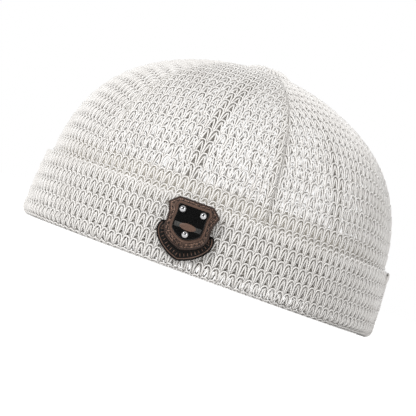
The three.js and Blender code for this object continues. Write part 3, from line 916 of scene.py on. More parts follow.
# %% Tapes behind the seams
TAPE_HALF_WIDTH = 3.2 * MM
TAPE_DEPTH = 2.1 * MM
TAPE_THICKNESS = 0.5 * MM
TAPE_CROWN = 0.25 * MM
TAPE_FOOT = FOOT_LENGTH + 45 * MM
TAPE_TOP = TOP_LENGTH + 2 * MM


def seam_rings(angle, lengths, corners):
    """Rings near a seam, from distances across it and depths under the crown's outside."""
    sideways = np.array([math.cos(angle), math.sin(angle), 0])

    def beside_seam(across, length):
        return crown_place(np.zeros_like(across), length, angle) + across[:, None] * sideways

    flat = [(across, length, KNIT_MIDDLE - depth) for length in lengths for across, depth in corners]
    return laid_on(beside_seam, np.array(flat)).reshape(len(lengths), len(corners), 3)


def make_tape(name, degrees):
    """The back seam's tape starts above the opening, and the others above the facing."""
    start = length_at(OPENING_HEIGHT) + 1 * MM if degrees == 180 else TAPE_FOOT
    lengths = np.linspace(start, TAPE_TOP, 30)
    half, back = TAPE_HALF_WIDTH, TAPE_DEPTH + TAPE_THICKNESS
    corners = [(-half, TAPE_DEPTH), (0, TAPE_DEPTH - TAPE_CROWN), (half, TAPE_DEPTH),
               (half, back), (-half, back)]
    rings = seam_rings(math.radians(degrees), lengths, corners)
    heights = [-half, 0, half, half * 1.2, -half * 1.2]
    hand_over(outward(make_object(name, band(rings, lengths, heights), TAPE)), "knit")


for number, degrees in enumerate(range(0, 360, 60)):
    make_tape(f"seam_tape_{number}", degrees)

# %% [markdown]
# ## The gathered top
# The six points are drawn together with a thread, which leaves a low mound of knit in six bunches.
# Each bunch is a few strands that climb to the middle, the higher ones in the middle of a gore, laid
# round by the same tree over a low pad of cloth.

# %% Mound of gathers
GATHER_RADIUS = 10.5 * MM
BUNCH_STRANDS = 7
BUNCH_SPREAD = math.radians(50)
PAD_FLATNESS = 0.22
STRAND_ROUTE = [  # shares of the mound's radius and of its height
    (1.12, -0.62), (1.02, -0.22), (0.84, 0.22), (0.56, 0.55), (0.28, 0.7), (0.06, 0.56),
]
STRAND_RADII = np.array([0.45, 0.55, 0.62, 0.68, 0.7, 0.68, 0.62, 0.54, 0.45, 0.36, 0.28]) * MM
gather_low, gather_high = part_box("crown_gather")


def make_gather():
    """Strands laid round the middle, over a flattened ball."""
    rise = gather_high.z - gather_low.z
    route = [(GATHER_RADIUS * out, 0, rise * up) for out, up in STRAND_ROUTE]
    one = make_object("gather_strand", tube(smooth_path(route, len(STRAND_RADII)), STRAND_RADII, 8))
    middle = (0, MIDDLE_Y, gather_low.z + 0.2 * MM)
    turns, fits = [], []
    for degrees in GORES.values():
        for side in np.linspace(-0.5, 0.5, BUNCH_STRANDS):
            turns.append((0, 0, math.radians(degrees) + side * BUNCH_SPREAD))
            fits.append((1, 1, 1 - 0.5 * abs(side)))
    obj = laid("knit_gather", one, [middle] * len(turns), fits, YARN, turns=turns, tilt=0.06, uneven=0.03,
               seed=5)
    bpy.data.objects.remove(one)
    bm = bmesh_of(obj)
    pad = bmesh.ops.create_uvsphere(bm, u_segments=32, v_segments=16, radius=GATHER_RADIUS)
    bmesh.ops.scale(bm, verts=pad["verts"], vec=(1, 1, PAD_FLATNESS))
    bmesh.ops.translate(bm, verts=pad["verts"], vec=(0, MIDDLE_Y, gather_low.z - 0.7 * MM))
    smooth_faces(bm)
    bm.to_mesh(obj.data)
    bm.free()
    hand_over(obj, "knit", "crown_gather")


make_gather()

# %% [markdown]
# ## The cuff
# The cuff is the same knit, folded up outside the crown, so its loops run down the outside, under
# the fold and a little way up inside. Its path is a section of straight and round stretches. The
# flat strip of loops is bent along that path, and its two ends are squeezed into a rounded edge.

# %% Path of the cuff's knit
CUFF_HEIGHT = 36 * MM
CUFF_END = math.radians(125)
CUFF_CORNER = 9 * MM
CUFF_WAIST = 0.65
CUFF_SQUEEZE = 1.4 * MM
CUFF_KNIT = 2.4 * MM
GAP = 0.3 * MM
FOLD_INSIDE = 5.6 * MM
FOLD_INSIDE_HEIGHT = 6.7 * MM
KNIT = 2 * MM
CUFF_RADIUS = MEAN_RADIUS + FOLD_OUTSIDE


def arc(depth, z, radius, start, end, steps):
    """Points round a part of a circle, between two angles in degrees."""
    turns = np.radians(np.linspace(start, end, steps + 1))
    return [(depth + radius * math.cos(t), z + radius * math.sin(t)) for t in turns]


def cuff_path():
    """Depths and heights of the cuff's outer face, from its top edge down, round and up inside."""
    top = -GAP - CUFF_KNIT
    bend = FOLD_INSIDE - KNIT
    waist = top + (-FOLD_OUTSIDE - top) * CUFF_WAIST
    return np.array([(top, CUFF_HEIGHT), (waist, CUFF_HEIGHT / 2),
                     *arc(0, FOLD_OUTSIDE, FOLD_OUTSIDE, 180, 270, 10),
                     *arc(KNIT, bend, bend, 270, 360, 10), (FOLD_INSIDE, FOLD_INSIDE_HEIGHT)])


cuff_points = cuff_path()
cuff_lengths = path_lengths(cuff_points)
cuff_total = float(cuff_lengths[-1])


def cuff_place(across, length):
    """Points of the cuff's outside. The length counts up to zero at the cuff's top edge."""
    depth = np.interp(-length, cuff_lengths, cuff_points[:, 0])
    z = np.interp(-length, cuff_lengths, cuff_points[:, 1])
    past = np.maximum(length, 0)
    up_corner = np.clip((z - (CUFF_HEIGHT - CUFF_CORNER)) / CUFF_CORNER, 0, 1)
    cut = CUFF_CORNER * (1 - np.sqrt(1 - up_corner ** 2))
    limit = CUFF_END - cut / CUFF_RADIUS
    angle = squeeze(across / CUFF_RADIUS, limit, CUFF_SQUEEZE / CUFF_RADIUS)
    return on_wall(angle, depth, z + past)


def pressed_flat(co):
    """The fold is pressed flat where the cap stands on it."""
    co[:, 2] = np.maximum(co[:, 2], 0)
    return co


# %% Knit of the cuff
def make_cuff(parts):
    """Loops over the whole strip, shared out among a few pieces."""
    rows = round(cuff_total / LOOP_HEIGHT)
    pitch = cuff_total / rows
    columns = round(2 * CUFF_END * CUFF_RADIUS / LOOP_WIDTH)
    places = (np.arange(columns) + 0.5) * LOOP_WIDTH - columns * LOOP_WIDTH / 2
    for number, (name, share) in enumerate(zip(parts, np.array_split(places, len(parts)))):
        points = [(across, -(row + 0.5) * pitch, 0) for row in range(rows) for across in share]
        fits = [(1, pitch / LOOP_HEIGHT, 1)] * len(points)
        obj = laid(name, loop, points, fits, YARN, tilt=0.03, uneven=0.03, seed=40 + number)
        move_points(obj, lambda co: pressed_flat(laid_on(cuff_place, co)))
        hand_over(obj, "knit", "cuff")
    print("rows and columns of the cuff:", rows, columns)


make_cuff(["knit_cuff_right", "knit_cuff_front", "knit_cuff_left"])
bpy.data.objects.remove(loop)

# %% [markdown]
# ## Rolled edges
# Cut knit runs, so its free edges are rolled and bound with close turns of yarn. The cuff's two ends
# and the arch at the back get such a roll: a short slanted turn of yarn, laid by the tree along the
# edge. The turn is made in a flat piece first and then carried to its place, like the loops.

# %% A roll of close turns
ROLL_PITCH = 0.95 * MM
ROLL_LEAN = 0.35 * ROLL_PITCH
ROLL_YARN = 0.42 * MM


def turn_shape():
    """One turn of yarn round an edge that runs along X."""
    angles = np.linspace(0, 2 * math.pi, 11)[:-1]
    path = [(-ROLL_LEAN * math.cos(a), EDGE_ROLL * math.cos(a), EDGE_ROLL * math.sin(a)) for a in angles]
    return tube([*path, path[0]], ROLL_YARN, YARN_SIDES, face=(1, 0, 0))


def rolled_edge(name, path):
    """Turns of yarn along a path of points, as one piece."""
    lengths = path_lengths(path)
    count = int(lengths[-1] / ROLL_PITCH)
    turn = make_object("turn", turn_shape())
    points = [((k + 0.5) * lengths[-1] / count, 0, 0) for k in range(count)]
    obj = laid(name, turn, points, [(1, 1, 1)] * count, YARN, uneven=0.05, seed=3)
    bpy.data.objects.remove(turn)
    side, up = path_frame(path, (path - (0, MIDDLE_Y, 0)) * (1, 1, 0))

    def carry(co):
        at, across, out = co[:, 0], co[:, 1:2], co[:, 2:3]
        rows = [np.stack([np.interp(at, lengths, table[:, k]) for k in range(3)], axis=-1)
                for table in (path, side, up)]
        return pressed_flat(rows[0] + rows[1] * across + rows[2] * out)

    move_points(obj, carry)
    hand_over(obj, "knit")


def cuff_end_path(sign):
    """Down the cuff's end, from the start of its rounded corner to the fold's inner edge."""
    lengths = np.linspace(1.0 * MM, cuff_total - 1.2 * MM, 60)
    far = CUFF_END * CUFF_RADIUS * 1.05
    flat = np.stack([np.full(60, sign * far), -lengths, np.zeros(60)], axis=-1)
    return laid_on(cuff_place, flat)


def arch_path():
    """Up one side of the back opening, over the arch and down the other."""
    turns = np.linspace(0, math.pi, 60)
    sides = np.linspace(BACK_HEM_HEIGHT + 1 * MM, OPENING_SIDE_HEIGHT, 14)[:-1]
    straight = [OPENING_HALF_WIDTH] * len(sides)
    x = [*straight, *(OPENING_HALF_WIDTH * np.cos(turns)), *[-reach for reach in straight]]
    rise = OPENING_HEIGHT - OPENING_SIDE_HEIGHT
    z = [*sides, *(OPENING_SIDE_HEIGHT + rise * np.sin(turns)), *sides[::-1]]
    x, z = np.array(x), np.array(z)
    angle = math.pi - np.arcsin(x / (CROWN_WIDTH * crown_share(z) - KNIT_MIDDLE))
    return on_wall(angle, KNIT_MIDDLE, z)


rolled_edge("cuff_end_left", cuff_end_path(1))
rolled_edge("cuff_end_right", cuff_end_path(-1))
rolled_edge("opening_edge", arch_path())

# %% [markdown]
# ## The facing
# A band of beige twill is stitched flat inside the crown to hold its shape against the head. It is one
# sheet carried round the wall, thicker along its turned-up hem, and its outward faces are a lighter
# cream, painted light where it shows through the knit. Four rows of topstitching run round it, and a
# dark brown cord along the hem is painted shade for the shadow line under its edge. The stitches are
# geometry, because they show from below.

# %% Band of twill
FACING_OUT = 2.6 * MM
FACING = 1.2 * MM
FACING_TOP = 46 * MM
FACING_FOOT = 7.3 * MM
TAB_FOOT = 4.3 * MM
TAB_END = math.radians(152.7)
TAB_DROP = (math.radians(128.5), math.radians(132.5))
HEM = 6 * MM
HEM_LIFT = 0.45 * MM
PUCKER = 0.16 * MM
FACING_LEVELS = (20 * MM, 34 * MM)
FACING_RADIUS = MEAN_RADIUS - FACING_OUT
FACING_INSIDE = FACING_OUT + FACING


def facing_foot(angle):
    """The height of the facing's lower edge, which drops towards the two tabs."""
    return FACING_FOOT + (TAB_FOOT - FACING_FOOT) * smooth_step(np.abs(angle), *TAB_DROP)


def puckers(angle, z):
    """Soft waves that the topstitching leaves in the cloth."""
    return PUCKER * np.sin(angle * 61 + 2 * np.sin(angle * 7)) * np.sin(z / (10 * MM) * math.pi)


def facing_section(angle):
    """The band's outline at an angle: up the outside, then down the inside to the hem."""
    foot = float(facing_foot(angle))
    above_hem = np.linspace(foot + HEM + 0.6 * MM, FACING_TOP - 1 * MM, 11)
    heights = np.array([foot, foot + HEM, *above_hem, FACING_TOP])
    depths = np.full(len(heights), FACING_INSIDE)
    depths[:2] += HEM_LIFT
    depths[0] -= 0.2 * MM
    depths[-1] -= 0.3 * MM
    depths = depths + puckers(angle, heights)
    outside = [on_wall(angle, FACING_OUT, z) for z in (foot, *FACING_LEVELS, FACING_TOP)]
    inside = [on_wall(angle, depth, z) for depth, z in zip(depths[::-1], heights[::-1])]
    return [*outside, *inside]


def make_facing():
    """The band in beige inside, with its outward faces in a lighter cream copy of the twill: painted light
    where its back shows through the knit.
    """
    angles = np.linspace(TAB_END, -TAB_END, 260)
    rings = [facing_section(angle) for angle in angles]
    heights = [4 * MM, *FACING_LEVELS, FACING_TOP, *np.linspace(FACING_TOP, 5 * MM, 14)]
    lengths = [(TAB_END - angle) * FACING_RADIUS for angle in angles]
    obj = outward(make_object("facing_twill", band(rings, lengths, heights), TWILL))
    obj.data.materials.append(TWILL_PAINTED_LIGHT)
    for face in obj.data.polygons:
        out = Vector((face.center.x, face.center.y - MIDDLE_Y, 0)).normalized()
        if face.normal.dot(out) > 0.5:
            face.material_index = 1
    return hand_over(obj, "facing", "facing_band")


facing = make_facing()

# %% Topstitching and a cord of painted shade along the hem
STITCH_LENGTH = 2.5 * MM
STITCH_RADIUS = 0.27 * MM
STITCH_PITCH = 3.5 * MM
STITCH_ROWS = [9.4 * MM, 19 * MM, 28.5 * MM, 38.5 * MM]
ON_THE_HEM = 12 * MM


def seam_stitch(length, radius):
    """A stitch that rises from the cloth, lies on it and goes in again."""
    half = length / 2
    path = [(-half, 0, -radius * 1.2), (-half * 0.8, 0, 0.0), (0, 0, radius * 0.4), (half * 0.8, 0, 0.0),
            (half, 0, -radius * 1.2)]
    return tube(smooth_path(path, 6), np.array([0.6, 1, 1, 1, 1, 0.6]) * radius, 6)


def make_topstitching():
    """Four rows of stitches, laid flat and carried round the facing's inside."""
    shape = make_object("stitch", seam_stitch(STITCH_LENGTH, STITCH_RADIUS))
    reach = TAB_END * FACING_RADIUS - 2 * MM
    count = int(2 * reach / STITCH_PITCH)
    across = np.linspace(-reach, reach, count)
    points = [(a, z, 0) for z in STITCH_ROWS for a in across]
    fits = [(1, 1, 1)] * len(points)
    obj = laid("topstitching", shape, points, fits, THREAD, tilt=0.05, uneven=0.06, seed=11)
    bpy.data.objects.remove(shape)

    def onto_facing(co):
        angle = -co[:, 0] / FACING_RADIUS
        lift = np.where(co[:, 1] < ON_THE_HEM, HEM_LIFT, 0)
        depth = FACING_INSIDE + lift + puckers(angle, co[:, 1]) + co[:, 2] + 0.05 * MM
        return on_wall(angle, depth, co[:, 1])

    move_points(obj, onto_facing)
    return hand_over(obj, "facing")


topstitching = make_topstitching()


def make_hem_shadow_cord():
    """A dark brown cord along the hem's lower edge, painted shade for the shadow line under the hem; it
    wavers a little along its length.
    """
    angles = np.linspace(TAB_END - 0.01, -TAB_END + 0.01, 420)
    foot = facing_foot(angles) - 0.1 * MM + 0.35 * MM * np.sin(angles * 37) * np.sin(angles * 11)
    path = on_wall(angles, FACING_INSIDE + 0.35 * MM, foot)
    return hand_over(outward(make_object("facing_edge", tube(path, 0.42 * MM, 7), HEM_SHADOW_BROWN)), "facing")


facing_edge = make_hem_shadow_cord()

# %% [markdown]
# ## The strap
# The strap is ribbed webbing: close cross ribs between two firmer edges. It runs from one tab behind
# the slider's end bar, round it and back along the inside to a free end. A section with round edges is
# carried along that path in small steps, and the steps swell and shrink to make the ribs.

# %% Places along the strap
SLIDER_ANGLE = math.radians(173.5)
BEND_RADIUS = 95 * MM
STRAP_FOOT = 6.7 * MM
STRAP_TOP = 26.7 * MM
STRAP_LEVEL = (STRAP_TOP + STRAP_FOOT) / 2
STRAP_DEPTH = 0.7 * MM
STRAP_END = math.radians(148.6)
WEB = 1.3 * MM
SLIDER_LENGTH = 19.2 * MM
SLIDER_HEIGHT = 25 * MM
END_BAR = 2.9 * MM
CENTRE_BAR = 6.5 * MM
BAR = 2 * MM
TAIL_END = math.radians(199)
TAIL_LIFT = 1.5 * MM
RIB_DEPTH = 0.25 * MM
strap_middle = STRAP_DEPTH + WEB / 2
bar_middle = STRAP_DEPTH + WEB + GAP + BAR / 2
turn_radius = (BAR + WEB) / 2 + GAP
turn_centre = SLIDER_LENGTH / 2 - END_BAR
return_middle = strap_middle + WEB + GAP


def distance_to(angle):
    """How far along the strap an angle of the wall lies from the slider's middle."""
    return (angle - SLIDER_ANGLE) * BEND_RADIUS


def strap_path(sewn_end, free_end):
    """Distance and depth, from the sewn end round the end bar to the free end."""
    clear = SLIDER_LENGTH / 2 + 1 * MM
    return np.array([(sewn_end, strap_middle), (turn_centre + 0.5 * MM, strap_middle),
                     *arc(turn_centre, bar_middle, turn_radius, 270, 90, 12),
                     (clear, bar_middle + turn_radius), (clear + 7 * MM, return_middle),
                     (free_end, return_middle)])


# %% Ribbed webbing
def webbing_section(rib):
    """Outline across the webbing: ribbed faces between two firm round edges, as depth and height."""
    half = (STRAP_TOP - STRAP_FOOT) / 2
    edge = 0.8 * WEB / 2
    quarter = [(rib, half - 1.3 * MM), (edge, half - 0.9 * MM), (edge * 0.7, half)]
    upper = [*[(-s, z) for s, z in quarter], *reversed(quarter)]
    return [*upper, *[(-s, -z) for s, z in upper]]


def make_strap(name, node, path, tail_lift, flip):
    """Webbing along a path. Its returning tail rises by tail_lift, and flip mirrors the path."""
    lengths = path_lengths(path)
    count = int(lengths[-1] / RIB_PITCH) * 4
    at = np.linspace(0, lengths[-1], count + 1)
    x = np.interp(at, lengths, path[:, 0])
    depth = np.interp(at, lengths, path[:, 1])
    along = unit(np.stack([np.gradient(x), np.gradient(depth)], axis=-1))
    rib = WEB / 2 - RIB_DEPTH * (0.5 - 0.5 * np.sin(2 * math.pi * at / RIB_PITCH))
    low = SLIDER_LENGTH / 2 + 3 * MM
    rings = []
    for k in range(count + 1):
        lift = 0.0
        if depth[k] > (strap_middle + return_middle) / 2:
            lift = tail_lift * float(smooth_step(abs(x[k]), low, low + 14 * MM))
        out, up = np.array(webbing_section(rib[k])).T
        across = x[k] - out * along[k, 1]
        depths = depth[k] + out * along[k, 0]
        rings.append(on_wall(SLIDER_ANGLE + flip * across / BEND_RADIUS, depths, STRAP_LEVEL + up + lift))
    heights = [up for _, up in webbing_section(WEB / 2)]
    hand_over(outward(make_object(name, band(rings, at, heights), WEBBING)), "webbing", node)


long_path = strap_path(distance_to(2 * math.pi - STRAP_END), distance_to(TAIL_END))
short_path = strap_path(-distance_to(STRAP_END), -distance_to(TAB_END) - 1 * MM)
make_strap("webbing_long", "strap_long", long_path, TAIL_LIFT, 1)
make_strap("webbing_short", "strap_short", short_path, 0, -1)

# %% [markdown]
# ## The slider
# The slider is one moulding: two rails, an end bar under each strap and a raised bar between them with
# a small dimple. Flat blocks are joined, their edges are rounded with a bevel, and the whole is bent
# along the strap. Rounded edges are what makes black plastic readable, because they catch the light.

# %% Blocks and how they are joined
def block(name, low, high):
    """A block between two corners."""
    bm = bmesh.new()
    bmesh.ops.create_cube(bm, size=1)
    bmesh.ops.scale(bm, verts=bm.verts, vec=Vector(high) - Vector(low))
    bmesh.ops.translate(bm, verts=bm.verts, vec=(Vector(low) + Vector(high)) / 2)
    return object_from(name, bm)


def apply_modifiers(obj):
    """Makes what the modifiers show the object's own mesh."""
    graph = bpy.context.evaluated_depsgraph_get()
    mesh = bpy.data.meshes.new_from_object(obj.evaluated_get(graph), depsgraph=graph)
    obj.modifiers.clear()
    obj.data = mesh


def combine(obj, tools, operation):
    """Joins tools to an object, or cuts them from it, and removes them."""
    for tool in tools:
        modifier = obj.modifiers.new("join", "BOOLEAN")
        modifier.operation = operation
        modifier.solver = "EXACT"
        modifier.object = tool
        apply_modifiers(obj)
        bpy.data.objects.remove(tool)


# %% The slider, flat
HALF_SLIDER = SLIDER_LENGTH / 2
RAIL = (SLIDER_HEIGHT - (STRAP_TOP - STRAP_FOOT) - 2 * GAP) / 2
RAIL_PROUD = 0.8 * MM
RIDGE_PROUD = 2.2 * MM
DIMPLE_RADIUS = 1.2 * MM
slider_foot, slider_top = STRAP_LEVEL - SLIDER_HEIGHT / 2, STRAP_LEVEL + SLIDER_HEIGHT / 2
bar_front, bar_back = bar_middle - BAR / 2, bar_middle + BAR / 2
rail_front, rail_back = bar_front - RAIL_PROUD, bar_back + RAIL_PROUD
ridge = bar_back + RIDGE_PROUD


def raised_bar():
    """The bar between the straps, narrower towards its ridge."""
    raised = block("raised", (-CENTRE_BAR / 2, rail_front, slider_foot + 0.8 * MM),
                   (CENTRE_BAR / 2, ridge, slider_top - 0.8 * MM))
    for vert in raised.data.vertices:
        if vert.co.y > rail_back:
            vert.co.x *= 0.5
            vert.co.z = STRAP_LEVEL + (vert.co.z - STRAP_LEVEL) * 0.92
    return raised


def end_bar(left, right):
    """A thin bar that a strap turns round or ends on."""
    return block("bar", (left, bar_front, slider_foot + 0.5 * MM), (right, bar_back, slider_top - 0.5 * MM))


def flat_slider():
    """Two rails joined by three bars, with the dimple cut into the raised one."""
    body = block("slider", (-HALF_SLIDER, rail_front, slider_foot),
                 (HALF_SLIDER, rail_back, slider_foot + RAIL))
    upper_rail = block("rail", (-HALF_SLIDER, rail_front, slider_top - RAIL),
                       (HALF_SLIDER, rail_back, slider_top))
    combine(body, [upper_rail, end_bar(HALF_SLIDER - END_BAR, HALF_SLIDER),
                   end_bar(-HALF_SLIDER, END_BAR - HALF_SLIDER), raised_bar()], "UNION")
    ball = bmesh.new()
    bmesh.ops.create_uvsphere(ball, u_segments=24, v_segments=12, radius=DIMPLE_RADIUS)
    bmesh.ops.translate(ball, verts=ball.verts, vec=(0, ridge + 0.3 * MM, STRAP_LEVEL))
    combine(body, [object_from("dimple", ball)], "DIFFERENCE")
    return body


# %% The slider, rounded and bent along the strap
SLIDER_ROUND = 0.35 * MM
SHARP_EDGE = math.radians(35)


def make_slider():
    """Rounds the edges, cuts the long faces into short ones and bends them round the wall."""
    body = flat_slider()
    bevel = body.modifiers.new("bevel", "BEVEL")
    bevel.width = SLIDER_ROUND
    bevel.segments = 3
    bevel.limit_method = "ANGLE"
    bevel.angle_limit = SHARP_EDGE
    apply_modifiers(body)
    bm = bmesh_of(body)
    for cut in np.linspace(-0.8, 0.8, 9) * HALF_SLIDER:
        every = [*bm.verts, *bm.edges, *bm.faces]
        bmesh.ops.bisect_plane(bm, geom=every, plane_co=(cut, 0, 0), plane_no=(1, 0, 0))
    smooth_faces(bm)
    bm.to_mesh(body.data)
    bm.free()
    body.name = "slider_moulding"
    move_points(body, lambda co: on_wall(SLIDER_ANGLE + co[:, 0] / BEND_RADIUS, co[:, 1], co[:, 2]))
    body.data.set_sharp_from_angle(angle=SHARP_EDGE)
    body.data.materials.clear()
    body.data.materials.append(PLASTIC)
    outward(body)
    hand_over(body, "slider", "buckle")


make_slider()

# %% [markdown]
# ## The badge
# A brown leather shield is riveted through a glossy black plate, over a black leather ribbon with a
# brown edge line. The plate has a worn crossbar and a low oval, and the ribbon a row of ticks. All
# pieces are made flat, with X to the right, Y up and Z out, and then turned square to the cuff. Each
# plate is a slab whose edge and face are rings of their own finish, stepped inwards, and the stitches
# and ticks are laid by the same tree as the loops.

# %% Where the badge stands
BADGE_ANGLE = math.radians(39)
BADGE_HEIGHT = 24 * MM
BACKING = 1.2 * MM
SHIELD = 2 * MM
PLATE = 1 * MM


def badge_frame():
    """The badge's own axes, square to the cuff's outside."""
    def face(angle, z):
        depth = -(FOLD_OUTSIDE + (CUFF_KNIT + GAP - FOLD_OUTSIDE) * z / CUFF_HEIGHT) - GAP
        return Vector(on_wall(angle, depth, z))

    low, high = (face(BADGE_ANGLE, BADGE_HEIGHT + rise * MM) for rise in (-14, 10))
    upward = (high - low).normalized()
    right, left = (face(BADGE_ANGLE + math.radians(step), BADGE_HEIGHT) for step in (-1, 1))
    sideways = (left - right).normalized()
    out = sideways.cross(upward).normalized()
    place = face(BADGE_ANGLE, BADGE_HEIGHT) + out * GAP
    return Matrix.Translation(place) @ Matrix((sideways, upward, out)).transposed().to_4x4()


BADGE = badge_frame()
print("badge faces:", [round(v, 2) for v in BADGE.col[2][:3]])


# %% Outlines of the badge
def curve_points(start, stretches, steps=8):
    """A closed outline in mm from its right half, from the bottom up, each stretch an end and a bend."""
    points = [start]
    for end, *bend in stretches:
        if not bend:
            points.append(end)
            continue
        a, b, c = (np.array(p, float) for p in (points[-1], bend[0], end))
        for t in np.linspace(0, 1, steps + 1)[1:]:
            points.append(tuple((1 - t) ** 2 * a + 2 * t * (1 - t) * b + t ** 2 * c))
    left = [(-x, y) for x, y in reversed(points) if x > 1e-6]
    return [(x * MM, y * MM) for x, y in [*points, *left]]


SHIELD_OUTLINE = curve_points((0, -13.8), [
    ((9.6, -9), (6.6, -12.2)),
    ((11.5, -3.4), (11.7, -6.2)),
    ((12.2, 3.9), (10.8, 0.6)),
    ((13.4, 6.9),),
    ((9, 11.1),),
])
RIBBON_OUTLINE = curve_points((0, -19.3), [
    ((12.6, -11.6), (8.2, -17.2)),
    ((14.2, -4), (15.7, -7.4)),
    ((12.6, -2.3), (13.6, -2.5)),
    ((10.2, -3.2),),
    ((10, 2),),
    ((10.8, 6.4),),
    ((7.8, 9.4),),
])
PLATE_OUTLINE = curve_points((0, -8.9), [
    ((7.4, -4.8), (4.6, -8.1)),
    ((7.5, 2.2), (8, -1.6)),
    ((8.1, 6.5), (7.4, 4.6)),
    ((7.4, 7.8),),
])


def inset_outline(outline, distance):
    """The outline moved inwards, corner by corner."""
    p = np.array(outline)
    before = p - np.roll(p, 1, axis=0)
    after = np.roll(p, -1, axis=0) - p
    middle = sum(unit(np.stack([-edge[:, 1], edge[:, 0]], axis=-1)) for edge in (before, after))
    scale = 2 / np.maximum((middle ** 2).sum(axis=1), 0.8)
    return p + middle * scale[:, None] * distance


# %% Slabs with rings of their own finish
def slab(name, outline, low, high, rings, materials):
    """A flat plate with a rounded edge in the second finish and a face in the first.

    Each ring between them has a width, a rise and the number of its finish."""
    bm = bmesh.new()
    face = bm.faces.new([bm.verts.new((x, y, low)) for x, y in outline])
    bm.normal_update()
    if face.normal.z > 0:
        face.normal_flip()
    top = bmesh.ops.extrude_face_region(bm, geom=[face])
    raised = [v for v in top["geom"] if isinstance(v, bmesh.types.BMVert)]
    soft = min(0.3 * MM, (high - low) / 3)
    bmesh.ops.translate(bm, verts=raised, vec=(0, 0, high - low - soft))
    bmesh.ops.recalc_face_normals(bm, faces=bm.faces)
    bm.normal_update()
    cap = max(bm.faces, key=lambda f: f.calc_center_median().z)
    for f in bm.faces:
        f.material_index = 1
    steps = [(soft * 0.4, soft * 0.7, 1), (soft * 0.6, soft * 0.3, 1)]
    for inwards, rise, finish in [*steps, *[(w * MM, r * MM, number) for w, r, number in rings]]:
        made = bmesh.ops.inset_region(bm, faces=[cap], thickness=inwards, depth=0, use_even_offset=True)
        for f in made["faces"]:
            f.material_index = finish
        bmesh.ops.translate(bm, verts=cap.verts, vec=(0, 0, rise))
    cap.material_index = 0
    smooth_faces(bm)
    bmesh.ops.triangulate(bm, faces=[f for f in bm.faces if len(f.verts) > 4])
    obj = object_from(name, bm, materials)
    obj.data.uv_layers.new(name="UVMap")
    obj.data.set_sharp_from_angle(angle=math.radians(50))
    return obj


def pin_to_cap(obj, slot, *nodes):
    """Turns a flat piece of the badge to its place and hands it over."""
    obj.data.transform(BADGE)
    hand_over(obj, slot, *nodes)


# %% Ribbon, shield and plate
shield_low = BACKING + GAP
shield_top = shield_low + SHIELD
plate_low = shield_top + GAP
plate_top = plate_low + PLATE
stud_low = plate_top + GAP
SINK = 0.25 * MM
brown_line = [(0.55, 0, 1), (0.12, -0.06, 2), (0.3, 0, 2), (0.1, 0.06, 1)]
ribbon = slab("ribbon_leather", RIBBON_OUTLINE, 0, BACKING, brown_line,
              [BLACK_LEATHER, BLACK_LEATHER, SMOOTH_LEATHER])
pin_to_cap(ribbon, "badge_black", "badge_ribbon")
# The shield's edge and its tooled groove take the dark edge finish: painted shade.
tooled_line = [(0.35, 0, 1), (0.15, -0.14, 1), (0.15, 0.14, 1)]
shield = slab("shield_leather", SHIELD_OUTLINE, shield_low - SINK, shield_top, tooled_line,
              [LEATHER, PAINTED_SHADE_EDGE])
pin_to_cap(shield, "badge_leather", "badge_shield")
thin_ring = [(0.15, 0, 1)]
lip = slab("plate_lip", inset_outline(PLATE_OUTLINE, -1.5 * MM), shield_top - 0.15 * MM,
           shield_top + SINK, thin_ring, [SMOOTH_LEATHER, PAINTED_SHADE_EDGE])
pin_to_cap(lip, "badge_leather")
plate = slab("plate_gloss", PLATE_OUTLINE, plate_low - SINK, plate_top, thin_ring, [GLOSS, GLOSS])
pin_to_cap(plate, "badge_gloss", "badge_plate")
crossbar_outline = [(x * MM, y * MM) for x, y in ((-6.9, -3.6), (6.9, -3.6), (6.9, -1.2), (-6.9, -1.2))]
crossbar = slab("plate_crossbar", crossbar_outline, plate_top - 0.1 * MM, plate_top + 0.12 * MM,
                thin_ring, [WORN_BLACK, WORN_BLACK])
pin_to_cap(crossbar, "badge_gloss")


# %% Stitches round the shield and plain ticks along the ribbon
def row_along(line, pitch, level, turn=0.0):
    """Places and turns for small shapes in a row along a line on the badge."""
    lengths = path_lengths(line)
    count = round(lengths[-1] / pitch)
    at = (np.arange(count) + 0.5) * lengths[-1] / count
    x, y = (np.interp(at, lengths, line[:, k]) for k in range(2))
    ahead_x, ahead_y = (np.interp(at + 0.2 * MM, lengths, line[:, k]) for k in range(2))
    turns = [(0, 0, turn + math.atan2(b - d, a - c)) for a, b, c, d in zip(ahead_x, ahead_y, x, y)]
    return [(a, b, level) for a, b in zip(x, y)], turns


def make_row(name, shape, row, material, slot):
    """Small shapes in a row, pinned on as one piece."""
    points, turns = row
    obj = laid(name, shape, points, [(1, 1, 1)] * len(points), material, turns=turns, seed=2)
    bpy.data.objects.remove(shape)
    pin_to_cap(obj, slot)


def ribbon_line(inset, top):
    """The ribbon's lower edge moved inwards, from its left end under the shield to its right end."""
    right = inset_outline(RIBBON_OUTLINE, inset)[:len(RIBBON_OUTLINE) // 2]
    right = right[right[:, 1] < top]
    return np.vstack([right[:0:-1] * (-1, 1), right])


shield_line = inset_outline(SHIELD_OUTLINE, 1.75 * MM)
shield_row = row_along(np.vstack([shield_line, shield_line[:1]]), 2.6 * MM, shield_top + 0.02 * MM)
make_row("shield_stitches", make_object("stitch", seam_stitch(1.1 * MM, 0.27 * MM)), shield_row,
         STITCH_BROWN, "badge_leather")
tick_row = row_along(ribbon_line(2.8 * MM, -5 * MM), 1.9 * MM, BACKING + 0.02 * MM, turn=math.pi / 2)
make_row("ribbon_ticks", make_object("tick", seam_stitch(1.5 * MM, 0.24 * MM)), tick_row,
         SMOOTH_LEATHER, "badge_black")


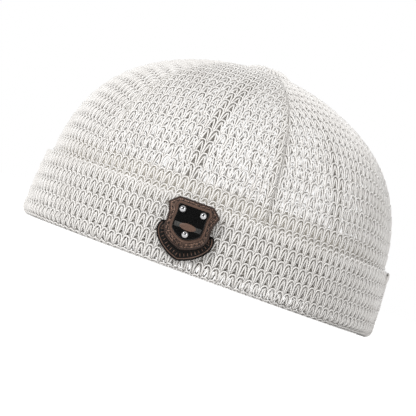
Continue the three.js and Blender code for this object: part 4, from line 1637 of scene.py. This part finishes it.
# %% Studs and a low oval on the plate
STUDS = {
    "badge_stud_left": (-5.3, 5.3),
    "badge_stud_right": (5.3, 5.3),
    "badge_stud_bottom": (0, -6.2),
}
STUD_RADIUS = 1.8 * MM
STUD_HEIGHT = 1.75 * MM
RIM = 0.12 * MM


def dome(name, x, y, low, radius_x, radius_y, height, material):
    """A low round head with a thin rim below it."""
    bm = bmesh.new()
    bmesh.ops.create_uvsphere(bm, u_segments=32, v_segments=18, radius=1)
    for vert in bm.verts:
        rise = max(vert.co.z, -0.02)
        up = low + RIM + rise * (height - RIM)
        vert.co = (x + vert.co.x * radius_x, y + vert.co.y * radius_y, low if rise < 0 else up)
    smooth_faces(bm)
    bmesh.ops.dissolve_degenerate(bm, dist=1e-7, edges=bm.edges)
    return object_from(name, bm, [material])


for name, (x, y) in STUDS.items():
    stud = dome("steel_" + name, x * MM, y * MM, stud_low - SINK, STUD_RADIUS, STUD_RADIUS,
                STUD_HEIGHT, STEEL)
    pin_to_cap(stud, "stud", name)
oval = dome("plate_oval", 0, -2.4 * MM, plate_top - 0.05 * MM, radius_x=4.3 * MM, radius_y=1.75 * MM,
            height=0.5 * MM, material=SMOOTH_LEATHER)
pin_to_cap(oval, "badge_leather")


# %% Three tacks of white thread under the badge
TACK_LENGTH = 1.5 * MM
TACK_RADIUS = 0.36 * MM
TACK_STEPS = (-1.6, 0.2, 2.0)
TACK_HEIGHT = 15.5 * MM


def make_tacks():
    """Thick short stitches on the cuff. Their height counts from the inner end of its path."""
    shape = make_object("tack", seam_stitch(TACK_LENGTH, TACK_RADIUS))
    across = [(BADGE_ANGLE + math.radians(step)) * CUFF_RADIUS for step in TACK_STEPS]
    down = cuff_total - TACK_HEIGHT
    points = [(a, -down, KNIT_MIDDLE + 0.1 * MM) for a in across]
    obj = laid("tack_threads", shape, points, [(1, 1, 1)] * 3, WHITE_THREAD, seed=4)
    bpy.data.objects.remove(shape)
    move_points(obj, lambda co: laid_on(cuff_place, co))
    hand_over(obj, "knit")


make_tacks()
